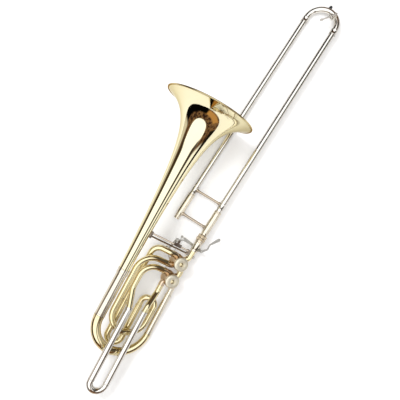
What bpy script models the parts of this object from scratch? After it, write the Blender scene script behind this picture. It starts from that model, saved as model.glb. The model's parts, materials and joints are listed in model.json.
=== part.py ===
"""Bass trombone with two in-line rotary valves, as it lies on a flat surface.

Three frames carry the pieces. The slide frame runs along the mouthpiece-side slide tube. The bell frame
lies in the plane of the bell and the main tuning slide: x points from the bell to the neck, y points to the
bell's mouth with the rim at zero, and z leaves the plane on the side of the valve caps. Both stand under one
root, which puts the middle of the footprint at the origin. Sizes are millimetres, and MM turns them into
metres where a mesh is made.
"""

import math

import bmesh
import bpy
import numpy as np
from mathutils import Matrix, Vector

MM = 0.001
GAP = 0.3

# Pose of the whole object
SLIDE_FRAME_PLACE = (1.0, 0.0, 9.5)
SLIDE_PITCH = -0.049
SLIDE_TILT = 9.8
BELL_FRAME_PLACE = (58.4, -445.9, 53.3)
BELL_YAW = 4.4
BELL_PITCH = 4.255
BELL_ROLL = 28.5

# Hand slide
SLIDE_SPACING = 89.0
OUTER_TUBE_R = 8.0
OUTER_TUBE_WALL = 0.35
OUTER_COLLAR_R = 8.8
INNER_TUBE_R = 7.1
INNER_TUBE_WALL = 0.4
CROOK_TUBE_R = 8.3
CROOK_END_Y = -53.5
CROOK_LEAD = 8.0
BUMPER_LENGTH = 8.6
OUTER_MOUTH_Y = -668.0
OUTER_BRACE_Y = -640.0
HAND_BRACE_Y = -714.0
BARREL_R = 9.5
UPPER_BARREL_Y = (-655.0, -722.0)
LOWER_BARREL_Y = (-660.0, -733.8)
RECEIVER_END_Y = -734.0
LOCK_RING_Y = (-734.3, -742.3)
NUT_Y = (-742.7, -751.5)
NECK_RECEIVER_Y = (-751.9, -784.0)
NECK_RECEIVER_R = 10.0
TENON_Y = (-734.2, -776.0)
TENON_R = 7.4

# Bell
BELL_AXIS_X = -141.0
BELL_RIM_R = 120.65
BELL_WALL = 0.8
BELL_TAIL_Y = -455.0
FLARE_START = 38.0
FLARE_POWER = 0.88
FLARE_FLOOR_R = 6.0
RIM_BEAD_R = 2.2
BRACE_ROD_Y = (-345.0, -352.5)
BRACE_ROD_R = 2.2

# Tubing
TUBE_R = 7.7
TUBE_WALL = 0.7
SLEEVE_R = 8.6
LEG_R = 7.2
LEG_WALL = 0.8

# Valves
VALVE_X = -17.8
VALVE_Y = (-383.0, -432.0)
PORT_OFFSET = 14.2
CASING_R = 19.0
CASING_BORE_R = 15.9
ROTOR_R = 15.5
PORT_R = 8.2
PORT_BORE_R = 6.9
PORT_BEND = 9.0
CASING_TOP = 20.0
CASING_BOTTOM = -20.0
CASING_FLOOR = -16.0
SPINDLE_R = 4.0
CAP_R = 18.3
CAP_RECESS_R = 8.2
NECK_PORT_REACH = 20.0
LOOP_PORT_REACH = 24.0

# Main tuning slide
BOW_Y = -585.0
BOW_LEAD = 3.0
NECK_LEG = 100.0
BELL_LEG = 110.0
BELL_LEG_R = 12.2
BELL_SLEEVE_R = 13.5

# First valve loop
F_LOOP_X = (-115.7, -19.7)
F_LOOP_BEND = 46.0
F_LOOP_ARC_Y = -556.0
F_SLIDE_X = (-91.7, -50.8)
F_DEPTH = -22.0
F_JOIN_Y = -596.0
F_ARC_Y = -625.0
F_ARCH_Y = -501.5
F_ARCH_JOIN_Y = -524.0
F_SLEEVE = 60.0
F_CROOK_SHOULDER_Y = -59.0
F_CROOK_BENDS = [24.0, 23.0, 24.0]
F_ARCH_BEND = 16.0

# Second valve loop
G_LEGS_X = (-88.2, -46.9)
G_HEIGHT = 22.5
G_CROOK_X = -97.0
G_CROOK_BEND = 38.0
G_CROOK_STEP_Y = (-490.0, -538.0)
G_RETURN_STEP_Y = (-476.0, -516.0)
G_STEP_BENDS = (30.0, 25.0)
G_JOIN_Y = -734.0
G_ARC_Y = -738.75
G_SLEEVE_TOP_Y = (-541.0, -536.0)
G_LEG = 150.0

# Valve action
ARM_PIN_R = 14.0
THUMB_PIVOT = (-45.0, -333.0)
THUMB_ARM = 32.0
SECOND_PIVOT = (21.0, -331.0)
SECOND_ARM = 49.7
ARM_LEVEL = -28.5
ROD_LEVELS = (-30.6, -35.0)
ROD_R = 1.2
PIN_R = 1.2
ARM_SLOT_R = 2.05
POST_R = 2.0
HUB_R = 4.2

# Water key
KEY_ANGLE = 52.0
KEY_PIVOT_R = 30.0
KEY_TOUCH_R = 6.0
KEY_NIPPLE_HEIGHT = 4.4
KEY_LEVEL = 8.5
KEY_PIN_R = 0.9

SIDES = 3
CURL_POINTS = 9
SMOOTH_ANGLE = math.radians(40)


def clear_scene():
    for thing in list(bpy.data.objects):
        bpy.data.objects.remove(thing)


def material(name, colour, roughness, metallic):
    made = bpy.data.materials.new(name)
    made.use_nodes = True
    shader = made.node_tree.nodes["Principled BSDF"]
    shader.inputs["Base Color"].default_value = (*colour, 1.0)
    shader.inputs["Roughness"].default_value = roughness
    shader.inputs["Metallic"].default_value = metallic
    made.diffuse_color = (*colour, 1.0)
    return made


def new_object(name, mesh):
    made = bpy.data.objects.new(name, mesh)
    bpy.context.scene.collection.objects.link(made)
    return made


def object_from(name, work):
    """An object from a bmesh, with its faces turned outward."""
    bmesh.ops.remove_doubles(work, verts=work.verts, dist=1e-6)
    bmesh.ops.dissolve_degenerate(work, dist=1e-6, edges=work.edges)
    bmesh.ops.recalc_face_normals(work, faces=work.faces)
    mesh = bpy.data.meshes.new(name)
    work.to_mesh(mesh)
    work.free()
    return new_object(name, mesh)


def polar(radius, degrees):
    angle = math.radians(degrees)
    return Vector((radius * math.cos(angle), radius * math.sin(angle), 0.0))


def along_y(x, first, last, z=0.0):
    return [(x, first, z), (x, last, z)]


def along_x(first, last, y, z=0.0):
    return [(first, y, z), (last, y, z)]


def bent(corners, radii, step=30.0):
    """A centre line through corners, each rounded by its radius: straight runs and arcs."""
    corners = [Vector(corner) for corner in corners]
    points = [corners[0]]
    for index, radius in enumerate(radii, 1):
        corner = corners[index]
        back = (corners[index - 1] - corner).normalized()
        ahead = (corners[index + 1] - corner).normalized()
        turn = math.pi - back.angle(ahead)
        centre = corner + (back + ahead).normalized() * (radius / math.cos(turn / 2))
        spoke = corner + back * (radius * math.tan(turn / 2)) - centre
        axis = spoke.cross(-back)
        count = max(1, round(math.degrees(turn) / step))
        points += [centre + Matrix.Rotation(turn * k / count, 3, axis) @ spoke for k in range(count + 1)]
    points.append(corners[-1])
    kept = points[:1]
    for point in points[1:]:
        if (point - kept[-1]).length > 0.05:
            kept.append(point)
    return kept


def run_lengths(points):
    """Distance along the line at each of its points."""
    lengths = [0.0]
    for before, after in zip(points, points[1:]):
        lengths.append(lengths[-1] + (Vector(after) - Vector(before)).length)
    return lengths


def with_stations(points, stations):
    """The line with a point added at each distance along it, and the distances of all its points."""
    points = [Vector(point) for point in points]
    for station in stations:
        lengths = run_lengths(points)
        if min(abs(station - length) for length in lengths) < 0.3:
            continue
        index = next((k for k, length in enumerate(lengths) if length > station), None)
        if index:
            share = (station - lengths[index - 1]) / (lengths[index] - lengths[index - 1])
            points.insert(index, points[index - 1].lerp(points[index], share))
    return points, run_lengths(points)


def swept(name, points, radii, sides, capped):
    """A round section carried along points. radii is one radius, or pairs of distance and radius."""
    curve = bpy.data.curves.new(name, "CURVE")
    curve.dimensions = "3D"
    curve.twist_mode = "MINIMUM"
    curve.bevel_depth = MM
    curve.bevel_resolution = sides
    curve.use_fill_caps = capped
    knots = radii if isinstance(radii, list) else [(0.0, radii)]
    points, lengths = with_stations(points, [distance for distance, _ in knots[1:-1]])
    spline = curve.splines.new("POLY")
    spline.points.add(len(points) - 1)
    for target, point, length in zip(spline.points, points, lengths):
        target.co = (*(point * MM), 1.0)
        target.radius = float(np.interp(length, *zip(*knots)))
    holder = new_object(name + "_line", curve)
    bpy.context.view_layer.update()
    graph = bpy.context.evaluated_depsgraph_get()
    mesh = bpy.data.meshes.new_from_object(holder.evaluated_get(graph))
    bpy.data.objects.remove(holder)
    bpy.data.curves.remove(curve)
    work = bmesh.new()
    work.from_mesh(mesh)
    bpy.data.meshes.remove(mesh)
    return object_from(name, work)


def into_sleeve(line, sleeve):
    """Radii of a tube that ends as a wider sleeve, with a ferrule where the two join."""
    total = run_lengths(line)[-1]
    joint = total - sleeve
    ferrule_r = SLEEVE_R + 0.7
    return [(0.0, TUBE_R), (joint - 6.0, TUBE_R), (joint - 5.5, ferrule_r), (joint, ferrule_r),
            (joint + 0.6, SLEEVE_R), (total, SLEEVE_R)]


def rod(name, points, radii, sides=2):
    return swept(name, points, radii, sides, True)


def pipe(name, points, radii, wall=TUBE_WALL, sides=SIDES):
    """An open tube. radii is its outer radius, and the wall grows inward."""
    made = swept(name, points, radii, sides, False)
    solid = made.modifiers.new("Wall", "SOLIDIFY")
    solid.thickness = wall * MM
    solid.offset = -1
    solid.use_even_offset = True
    return settled(made)


def settled(thing):
    """The object with its modifiers applied."""
    bpy.context.view_layer.update()
    graph = bpy.context.evaluated_depsgraph_get()
    mesh = bpy.data.meshes.new_from_object(thing.evaluated_get(graph))
    thing.modifiers.clear()
    old = thing.data
    thing.data = mesh
    bpy.data.meshes.remove(old)
    mesh.name = thing.name
    return thing


def standing(base, axis):
    """The transform that stands a shape made along Z on base, along axis."""
    turn = Vector((0, 0, 1)).rotation_difference(Vector(axis)).to_matrix().to_4x4()
    return Matrix.Translation(Vector(base) * MM) @ turn


def turned(name, profile, base=(0, 0, 0), axis=(0, 0, 1), segments=22):
    """A profile of (radius, height) points, closed, turned round an axis that starts at base."""
    work = bmesh.new()
    ring = [work.verts.new((radius * MM, 0, height * MM)) for radius, height in profile]
    pairs = [pair for pair in zip(ring, ring[1:] + ring[:1]) if pair[0].co.x or pair[1].co.x]
    edges = [work.edges.new(pair) for pair in pairs]
    bmesh.ops.spin(work, geom=ring + edges, cent=(0, 0, 0), axis=(0, 0, 1), angle=2 * math.pi, steps=segments)
    work.transform(standing(base, axis))
    return object_from(name, work)


def drum(name, radius, low, high, base=(0, 0, 0), axis=(0, 0, 1), hole=0.0, segments=24):
    """A cylinder between two heights along its axis, with an optional hole."""
    if hole:
        profile = [(hole, low), (radius, low), (radius, high), (hole, high)]
        return turned(name, profile, base, axis, segments)
    work = bmesh.new()
    middle = Matrix.Translation((0, 0, (low + high) / 2 * MM))
    bmesh.ops.create_cone(work, cap_ends=True, segments=segments, radius1=radius * MM, radius2=radius * MM,
                          depth=(high - low) * MM, matrix=middle)
    work.transform(standing(base, axis))
    return object_from(name, work)


def block(name, size, centre, turn=0.0):
    work = bmesh.new()
    bmesh.ops.create_cube(work, size=1.0)
    scale = Matrix.Diagonal((*(Vector(size) * MM), 1.0))
    place = Matrix.Translation(Vector(centre) * MM) @ Matrix.Rotation(math.radians(turn), 4, "Z")
    work.transform(place @ scale)
    return object_from(name, work)


def strap(name, start, end, radii, low, high):
    """A flat link with round ends, between two heights."""
    start, end = Vector(start), Vector(end)
    heading = math.atan2(end.y - start.y, end.x - start.x)
    half = math.pi / 2
    steps = 5
    outline = []
    for centre, radius, first in ((end, radii[1], heading - half), (start, radii[0], heading + half)):
        for k in range(steps + 1):
            angle = first + math.pi * k / steps
            outline.append((centre.x + radius * math.cos(angle), centre.y + radius * math.sin(angle)))
    work = bmesh.new()
    bottom = work.faces.new([work.verts.new((x * MM, y * MM, low * MM)) for x, y in outline])
    grown = bmesh.ops.extrude_face_region(work, geom=[bottom])
    top = [piece for piece in grown["geom"] if isinstance(piece, bmesh.types.BMVert)]
    bmesh.ops.translate(work, verts=top, vec=(0, 0, (high - low) * MM))
    return object_from(name, work)


def combined(first, operation, *others):
    """first with each of the others joined to it or cut from it. The others are used up."""
    for other in others:
        step = first.modifiers.new("Shape", "BOOLEAN")
        step.operation = operation
        step.solver = "EXACT"
        step.object = other
        settled(first)
        bpy.data.objects.remove(other)
    return first


def joined(first, *others):
    return combined(first, "UNION", *others)


def cut(first, *others):
    return combined(first, "DIFFERENCE", *others)


def fitted(thing, holder, look, pivot=None):
    """Puts a finished piece in its frame, with its origin on pivot if it moves."""
    if pivot:
        centre = Vector(pivot) * MM
        thing.data.transform(Matrix.Translation(-centre))
        thing.location = centre
    thing.parent = holder
    thing.data.materials.clear()
    thing.data.materials.append(look)
    thing.data.shade_smooth()
    thing.data.set_sharp_from_angle(angle=SMOOTH_ANGLE)
    return thing


def frame(name, parent, place, turns, order="XYZ"):
    """An empty that carries pieces. place is in millimetres and turns in degrees."""
    made = new_object(name, None)
    made.parent = parent
    made.location = Vector(place) * MM
    made.rotation_mode = order
    made.rotation_euler = [math.radians(turn) for turn in turns]
    return made


# Springs


def least_gap(points, wire):
    """Smallest clear distance between stretches of one wire that lie at least two points apart."""
    fine = [before.lerp(after, k / 4) for before, after in zip(points, points[1:]) for k in range(4)]
    apart = 4 * (CURL_POINTS // 2)
    pairs = ((a, b) for index, a in enumerate(fine) for b in fine[index + apart:])
    return min((a - b).length for a, b in pairs) - 2 * wire


def torsion_spring(name, base, axis, first_turn, turns, radius, wire, pitch, legs):
    """A close coil round an axis. Its two straight legs leave it along the tangent.

    first_turn is the angle where the coil starts, and legs are the lengths of the two straight ends.
    """
    step = 360 / CURL_POINTS
    count = round(turns * CURL_POINTS)
    coil = [polar(radius, first_turn + step * k) + Vector((0, 0, pitch * k / CURL_POINTS))
            for k in range(count + 1)]
    start = coil[0] + polar(legs[0], first_turn - 90)
    end = coil[-1] + polar(legs[1], first_turn + step * count + 90)
    place = Matrix.Translation(Vector(base)) @ standing((0, 0, 0), axis)
    points = [place @ point for point in (start, *coil, end)]
    print(f"{name}: least gap between turns {least_gap(points, wire):.2f} mm")
    return rod(name, points, wire, 1)


# Bell


def flare_radius(behind):
    """Outer radius at a distance behind the rim: a Bessel horn that settles to a slow taper."""
    horn = BELL_RIM_R * (FLARE_START / (behind + FLARE_START)) ** FLARE_POWER
    return math.hypot(horn, FLARE_FLOOR_R * min(1.0, behind / 100))


def bell_profile():
    """The wall's section, from the tail up the outside, round the rolled rim and back down the inside."""
    length = -BELL_TAIL_Y
    count = 10
    stations = [length * (k / count) ** 1.8 for k in range(count, 0, -1)]
    outside = [(flare_radius(behind), -behind) for behind in stations]
    bead = [(BELL_RIM_R - RIM_BEAD_R + RIM_BEAD_R * math.sin(math.radians(a)),
             -RIM_BEAD_R * math.cos(math.radians(a))) for a in (0, 60, 120, 180)]
    inside = [(radius - BELL_WALL, y + 0.4 * BELL_WALL) for radius, y in reversed(outside)]
    inside[-1] = (inside[-1][0], outside[0][1])
    return outside + bead + [(BELL_RIM_R - 2 * RIM_BEAD_R, 0.6)] + inside


def make_bell(bell_frame, brass):
    bell = turned("bell", bell_profile(), (BELL_AXIS_X, 0, 0), (0, 1, 0), 36)
    fitted(bell, bell_frame, brass)


def stem_cutter():
    """The outer shape of the bell's stem, a little larger, to seat the brace foot on."""
    ends = (-320.0, -370.0)
    profile = [(0, ends[1]), *((flare_radius(-y) + GAP, y) for y in reversed(ends)), (0, ends[0])]
    return turned("stem_cutter", profile, (BELL_AXIS_X, 0, 0), (0, 1, 0), 36)


def make_bell_brace(bell_frame, slide_to_bell, silver):
    """Two parallel rods with a foot on the stem and a foot on the neck."""
    middle = sum(BRACE_ROD_Y) / 2
    stem_x = BELL_AXIS_X + flare_radius(-middle)
    foot_x = -10.0
    rods = [rod("bell_brace", along_x(stem_x, foot_x + 2, y), BRACE_ROD_R) for y in BRACE_ROD_Y]
    stem_foot = block("foot", (5.0, 18.0, 15.0), (stem_x + 2.2, middle, 0))
    neck_foot = block("foot", (7.0, 14.6, 10.0), (foot_x + 3.5, middle, -0.6))
    brace = joined(rods[0], stem_foot, neck_foot, rods[1])
    fitted(cut(brace, stem_cutter(), neck_cutter(slide_to_bell)), bell_frame, silver)


# Neck and valves


def neck_line(slide_to_bell):
    """Centre line from the first valve's neck port to the end of the neck receiver, in the bell frame."""
    valve = Vector((VALVE_X, VALVE_Y[0], 0))
    port = valve + polar(NECK_PORT_REACH + 2 * GAP, 45)
    end = slide_to_bell @ Vector((SLIDE_SPACING, NECK_RECEIVER_Y[1] - GAP, 0))
    back = slide_to_bell.to_3x3() @ Vector((0, -1, 0))
    off = end - valve
    corner = end + back * ((off.y - off.x) / (back.x - back.y))
    return bent([port, corner, end], [PORT_BEND], 15)


def neck_cutter(slide_to_bell):
    """The outer shape of the gooseneck, a little larger, to seat pieces on."""
    return rod("neck_cutter", neck_line(slide_to_bell), TUBE_R + 1.5 * GAP, 6)


def make_neck(bell_frame, slide_frame, slide_to_bell, brass, silver):
    fitted(pipe("gooseneck", neck_line(slide_to_bell), TUBE_R), bell_frame, brass)
    start, end = NECK_RECEIVER_Y
    length = start - end
    bore_r = TENON_R + 0.4
    profile = [(bore_r, 0), (11.0, 0), (11.0, 4), (NECK_RECEIVER_R, 5), (NECK_RECEIVER_R, length - 4),
               (9.2, length), (bore_r, length)]
    receiver = turned("neck_receiver", profile, (SLIDE_SPACING, start, 0), (0, -1, 0))
    fitted(receiver, slide_frame, silver)


def rotor_passage(side, centre):
    """The curved channel that one side of a rotor carries between two neighbouring ports."""
    bend = Vector(centre) + Vector((side * 22.0, 0, 0))
    points = [bend + polar(14.5, 180 * (side > 0) + angle) for angle in range(-90, 91, 36)]
    return rod("passage", points, PORT_BORE_R, 2)


def port_line(angle, heading, start, extra):
    """Centre line of one port, from inside the chamber. A loop's port turns to its heading."""
    if heading is None:
        return [polar(start, angle), polar(NECK_PORT_REACH + extra, angle)]
    corner = polar(PORT_OFFSET * math.sqrt(2), angle)
    mouth = corner + heading * (LOOP_PORT_REACH - PORT_OFFSET + extra)
    return bent([polar(start, angle), corner, mouth], [PORT_BEND])


def make_casing(number, centre):
    """One valve casing with its floor, its four ports and the hole for the spindle."""
    loop_ways = (Vector((-1, 0, 0)), Vector((-1, 0, 0)) if number == 1 else Vector((0, -1, 0)))
    ports = ((45, None), (-45, None), (135, loop_ways[0]), (225, loop_ways[1]))
    shell = drum(f"valve_casing_{number}", CASING_R, CASING_BOTTOM, CASING_TOP, centre, segments=30)
    for angle, way in ports:
        line = [centre + point for point in port_line(angle, way, 8.0, 0.0)]
        joined(shell, rod("port", line, PORT_R, 3))
    cut(shell, drum("chamber", CASING_BORE_R, CASING_FLOOR, CASING_TOP + 5, centre, segments=24))
    cut(shell, drum("hole", SPINDLE_R + 0.4, CASING_BOTTOM - 5, 0, centre, segments=14))
    for angle, way in ports:
        line = [centre + point for point in port_line(angle, way, 9.0, 3.0)]
        cut(shell, rod("bore", line, PORT_BORE_R, 2))
    return shell


def make_valve(number, bell_frame, brass, silver, steel):
    """One rotary valve: casing, rotor on its spindle, bearing plate and screwed cap."""
    centre = Vector((VALVE_X, VALVE_Y[number - 1], 0))
    fitted(make_casing(number, centre), bell_frame, brass)

    profile = [(0, -25.2), (SPINDLE_R, -25.2), (SPINDLE_R, -15.6), (ROTOR_R, -15.6), (ROTOR_R, 13.0),
               (SPINDLE_R, 13.0), (SPINDLE_R, 19.4), (0, 19.4)]
    rotor = turned(f"rotor_{number}", profile, centre, segments=20)
    cut(rotor, rotor_passage(1, centre), rotor_passage(-1, centre))
    fitted(rotor, bell_frame, steel, centre)

    plate = drum(f"bearing_plate_{number}", CASING_BORE_R - 1.6 * GAP, 13.4, 17.0, centre, hole=SPINDLE_R + GAP,
                 segments=20)
    fitted(plate, bell_frame, silver)
    face = CASING_TOP + GAP
    cap_profile = [(0, face), (CAP_R, face), (CAP_R + 0.6, face + 0.9), (CAP_R + 0.6, face + 3.1),
                   (CAP_R - 1.0, face + 5.1), (CAP_RECESS_R + 0.8, face + 6.3), (CAP_RECESS_R, face + 3.9),
                   (2.6, face + 3.5), (0, face + 4.5)]
    fitted(turned(f"valve_cap_{number}", cap_profile, centre, segments=26), bell_frame, brass)


def stop_arm_angle(number):
    """Middle of the stop arm's swing: the first valve's points down the bell, the second's to the bell."""
    return -90.0 if number == 1 else 180.0


def make_stops(number, bell_frame, steel, cork):
    """The stop arm on the spindle, and the stop plate whose two corks end its quarter turn."""
    centre = Vector((VALVE_X, VALVE_Y[number - 1], 0))
    middle = stop_arm_angle(number)
    rest = middle - 45
    tip = centre + polar(ARM_PIN_R + 1.0, rest)
    arm = strap(f"stop_arm_{number}", centre, tip, (6.5, 4.4), ARM_LEVEL, ARM_LEVEL + 3)
    slot_ends = (centre + polar(9.6, rest), centre + polar(ARM_PIN_R + 0.3, rest))
    cut(arm, strap("slot", *slot_ends, (ARM_SLOT_R, ARM_SLOT_R), ARM_LEVEL - 5, 0))
    fitted(arm, bell_frame, steel, centre)
    plate_low = CASING_BOTTOM - 2.2
    ring = drum(f"stop_plate_{number}", CASING_R - 0.5, plate_low, CASING_BOTTOM - GAP, centre, hole=7.0)
    keep = block("keep", (60, 22, 10), centre + polar(11.0, middle) + Vector((0, 0, -21)), middle + 90)
    combined(ring, "INTERSECT", keep)
    fitted(ring, bell_frame, steel)
    for side, letter in ((-1, "a"), (1, "b")):
        spot = centre + polar(14.6, middle + side * 77)
        bumper = drum(f"stop_cork_{number}{letter}", 2.6, ARM_LEVEL + 0.2, plate_low - GAP, spot, segments=14)
        fitted(bumper, bell_frame, cork)


def make_valve_link(bell_frame, brass):
    """The short tube that leads the air from the first valve to the second."""
    first = Vector((VALVE_X, VALVE_Y[0], 0))
    second = Vector((VALVE_X, VALVE_Y[1], 0))
    reach = NECK_PORT_REACH + GAP
    corners = [first + polar(reach, -45), Vector((0, first.y + VALVE_X, 0)),
               Vector((0, second.y - VALVE_X, 0)), second + polar(reach, 45)]
    fitted(pipe("valve_link_tube", bent(corners, [PORT_BEND, PORT_BEND]), TUBE_R), bell_frame, brass)


# Tuning slides


def bow_point(radius, degrees):
    """A point of a half circle that starts at the origin, heads down y and comes back up at -2 radius."""
    return polar(radius, -degrees) - Vector((radius, 0, 0))


def make_main_tuning(bell_frame, brass, silver):
    """The two outer sleeves and the wide bow whose legs slide in them."""
    second = Vector((VALVE_X, VALVE_Y[1], 0))
    corner = Vector((0, second.y + VALVE_X, 0))
    line = bent([second + polar(NECK_PORT_REACH + GAP, -45), corner, (0, BOW_Y + GAP, 0)], [PORT_BEND])
    radii = into_sleeve(line, NECK_LEG + 8.0)
    fitted(pipe("tuning_sleeve_neck", line, radii), bell_frame, silver)
    tail = BELL_TAIL_Y - GAP
    bore_r = BELL_LEG_R + 0.4
    collar_r = BELL_SLEEVE_R + 1.6
    profile = [(bore_r, BOW_Y + GAP), (BELL_SLEEVE_R, BOW_Y + GAP), (BELL_SLEEVE_R, tail - 14),
               (collar_r, tail - 13), (collar_r, tail), (bore_r, tail)]
    sleeve = turned("tuning_sleeve_bell", profile, (BELL_AXIS_X, 0, 0), (0, 1, 0), 28)
    fitted(sleeve, bell_frame, silver)

    radius = -BELL_AXIS_X / 2
    arc = [Vector((0, BOW_Y - BOW_LEAD, 0)) + bow_point(radius, 20 * k) for k in range(10)]
    line = [(0, BOW_Y + NECK_LEG, 0), (0, BOW_Y, 0), *arc, (BELL_AXIS_X, BOW_Y, 0),
            (BELL_AXIS_X, BOW_Y + BELL_LEG, 0)]
    shoulder = 0.6
    far = run_lengths(line)[-1] - BELL_LEG
    radii = [(0.0, LEG_R), (NECK_LEG, LEG_R), (NECK_LEG + shoulder, SLEEVE_R + 0.4),
             (far - shoulder, BELL_SLEEVE_R + 0.3), (far, BELL_LEG_R), (far + BELL_LEG, BELL_LEG_R)]
    slide = pipe("main_tuning_slide", line, radii, LEG_WALL, 4)
    fitted(slide, bell_frame, brass, (0, BOW_Y, 0))


def bow_with_legs(name, legs_x, join_y, arc_y, depth, leg):
    """A half-round bow and its two inner legs, which slide in their sleeves."""
    left, right = legs_x
    radius = (right - left) / 2
    shoulder = 0.5
    arc = [Vector((right, arc_y, depth)) + bow_point(radius, 22.5 * k) for k in range(9)]
    line = [(right, join_y + leg, depth), (right, join_y, depth), *arc, (left, join_y, depth),
            (left, join_y + leg, depth)]
    far = run_lengths(line)[-1] - leg
    radii = [(0.0, LEG_R), (leg, LEG_R), (leg + shoulder, SLEEVE_R), (far - shoulder, SLEEVE_R),
             (far, LEG_R), (far + leg, LEG_R)]
    return pipe(name, line, radii, LEG_WALL)


def make_first_loop(bell_frame, brass):
    """The first valve's loop: a crook down to its slide, an arch, and the wide return loop."""
    top_y = VALVE_Y[0] + PORT_OFFSET
    start_x = VALVE_X - LOOP_PORT_REACH - GAP
    left, right = F_SLIDE_X
    corners = [(start_x, top_y, 0), (start_x - 8, top_y, 0), (left - 3, top_y, F_DEPTH / 2),
               (left, top_y + F_CROOK_SHOULDER_Y, F_DEPTH), (left, F_JOIN_Y + GAP, F_DEPTH)]
    line = bent(corners, F_CROOK_BENDS)
    fitted(pipe("f_crook", line, into_sleeve(line, F_SLEEVE)), bell_frame, brass)

    wide_left, wide_right = F_LOOP_X
    corners = [(wide_right, F_ARCH_JOIN_Y, 0), (wide_right, F_ARCH_Y, 0), (right, F_ARCH_Y, F_DEPTH),
               (right, F_JOIN_Y + GAP, F_DEPTH)]
    line = bent(corners, [F_ARCH_BEND, F_ARCH_BEND])
    fitted(pipe("f_arch", line, into_sleeve(line, F_SLEEVE)), bell_frame, brass)

    low_y = VALVE_Y[0] - PORT_OFFSET
    radius = (wide_right - wide_left) / 2
    corners = [(start_x, low_y, 0), (wide_left, low_y, 0), (wide_left, F_LOOP_ARC_Y - radius, 0),
               (wide_right, F_LOOP_ARC_Y - radius, 0), (wide_right, F_ARCH_JOIN_Y - GAP, 0)]
    line = bent(corners, [F_LOOP_BEND, radius, radius])
    end = run_lengths(line)[-1]
    ferrule_r = TUBE_R + 0.8
    radii = [(0.0, TUBE_R), (end - 7.0, TUBE_R), (end - 6.5, ferrule_r), (end, ferrule_r)]
    fitted(pipe("f_loop", line, radii), bell_frame, brass)

    slide = bow_with_legs("f_tuning_slide", F_SLIDE_X, F_JOIN_Y, F_ARC_Y, F_DEPTH, F_SLEEVE)
    fitted(slide, bell_frame, brass, (right, F_JOIN_Y, F_DEPTH))


def make_second_loop(bell_frame, brass, silver):
    """The second valve's loop: a crook and a return that step up over the first loop, and the long slide."""
    left, right = G_LEGS_X
    top_y = VALVE_Y[1] + PORT_OFFSET
    start_x = VALVE_X - LOOP_PORT_REACH - GAP
    crook_bend, return_bend = G_STEP_BENDS
    high_y, low_y = G_CROOK_STEP_Y
    corners = [(start_x, top_y, 0), (G_CROOK_X, top_y, 0), (G_CROOK_X, high_y, 0), (left, low_y, G_HEIGHT),
               (left, G_JOIN_Y + GAP, G_HEIGHT)]
    line = bent(corners, [G_CROOK_BEND, crook_bend, crook_bend])
    radii = into_sleeve(line, G_SLEEVE_TOP_Y[0] - G_JOIN_Y)
    fitted(pipe("g_crook", line, radii), bell_frame, brass)

    return_x = VALVE_X - PORT_OFFSET
    start_y = VALVE_Y[1] - LOOP_PORT_REACH - GAP
    high_y, low_y = G_RETURN_STEP_Y
    corners = [(return_x, start_y, 0), (return_x, high_y, 0), (right, low_y, G_HEIGHT),
               (right, G_JOIN_Y + GAP, G_HEIGHT)]
    line = bent(corners, [return_bend, return_bend], 18)
    radii = into_sleeve(line, G_SLEEVE_TOP_Y[1] - G_JOIN_Y)
    fitted(pipe("g_return", line, radii), bell_frame, brass)

    slide = bow_with_legs("g_tuning_slide", G_LEGS_X, G_JOIN_Y, G_ARC_Y, G_HEIGHT, G_LEG)
    fitted(slide, bell_frame, silver, (right, G_JOIN_Y, G_HEIGHT))


# Valve action


def lever_swing(arm):
    """Degrees that a lever turns while its rod turns the stop arm by a quarter."""
    return math.degrees(2 * math.asin(ARM_PIN_R / math.sqrt(2) / arm))


def make_thumb_action(bell_frame, steel, silver):
    """Post and bracket on the brace, the thumb lever with its spring, and the rod to the first valve."""
    x, y = THUMB_PIVOT
    pivot = Vector((x, y, 0))
    rest = pivot + polar(THUMB_ARM, -90 - lever_swing(THUMB_ARM) / 2)
    hub_low, hub_high = -17.0, 2.5
    seat = BRACE_ROD_R + GAP
    post = drum("thumb_lever_post", POST_R, hub_low - 0.6, seat + 2, pivot, segments=14)
    bar = block("bar", (22.0, 9.0, 2.2), (x + 1, y - 10.5, seat + 1.2))
    neck = strap("neck", pivot, (x, y - 8), (3.4, 3.4), seat + 0.3, seat + 2.1)
    fitted(joined(post, bar, neck), bell_frame, silver)

    hub = drum("thumb_lever", HUB_R, hub_low, hub_high, pivot, segments=18)
    link_arm = strap("arm", pivot, rest, (3.6, 3.0), hub_low + 0.1, hub_low + 2.8)
    pin = drum("pin", PIN_R, ROD_LEVELS[0] - 1.8, hub_low + 2, rest, segments=10)
    knee = pivot + Vector((9, 7, 0))
    tip = pivot + Vector((31, 7, 0))
    shank = strap("arm", pivot, knee, (3.2, 1.7), -3.0, -0.6)
    touch = strap("touch", knee, tip, (1.5, 2.2), -2.8, -0.8)
    lever = joined(hub, link_arm, pin, shank, touch)
    cut(lever, drum("hole", POST_R + GAP, hub_low - 3, hub_high + 3, pivot, segments=20))
    fitted(lever, bell_frame, steel, pivot)
    base = pivot + Vector((0, 0, -12.0))
    spring = torsion_spring("thumb_lever_spring", base, (0, 0, 1), 20, 2.25, 5.2, 0.5, 2.2, (9.0, 8.0))
    fitted(spring, bell_frame, steel)
    make_rod(1, rest, bell_frame, steel)


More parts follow.
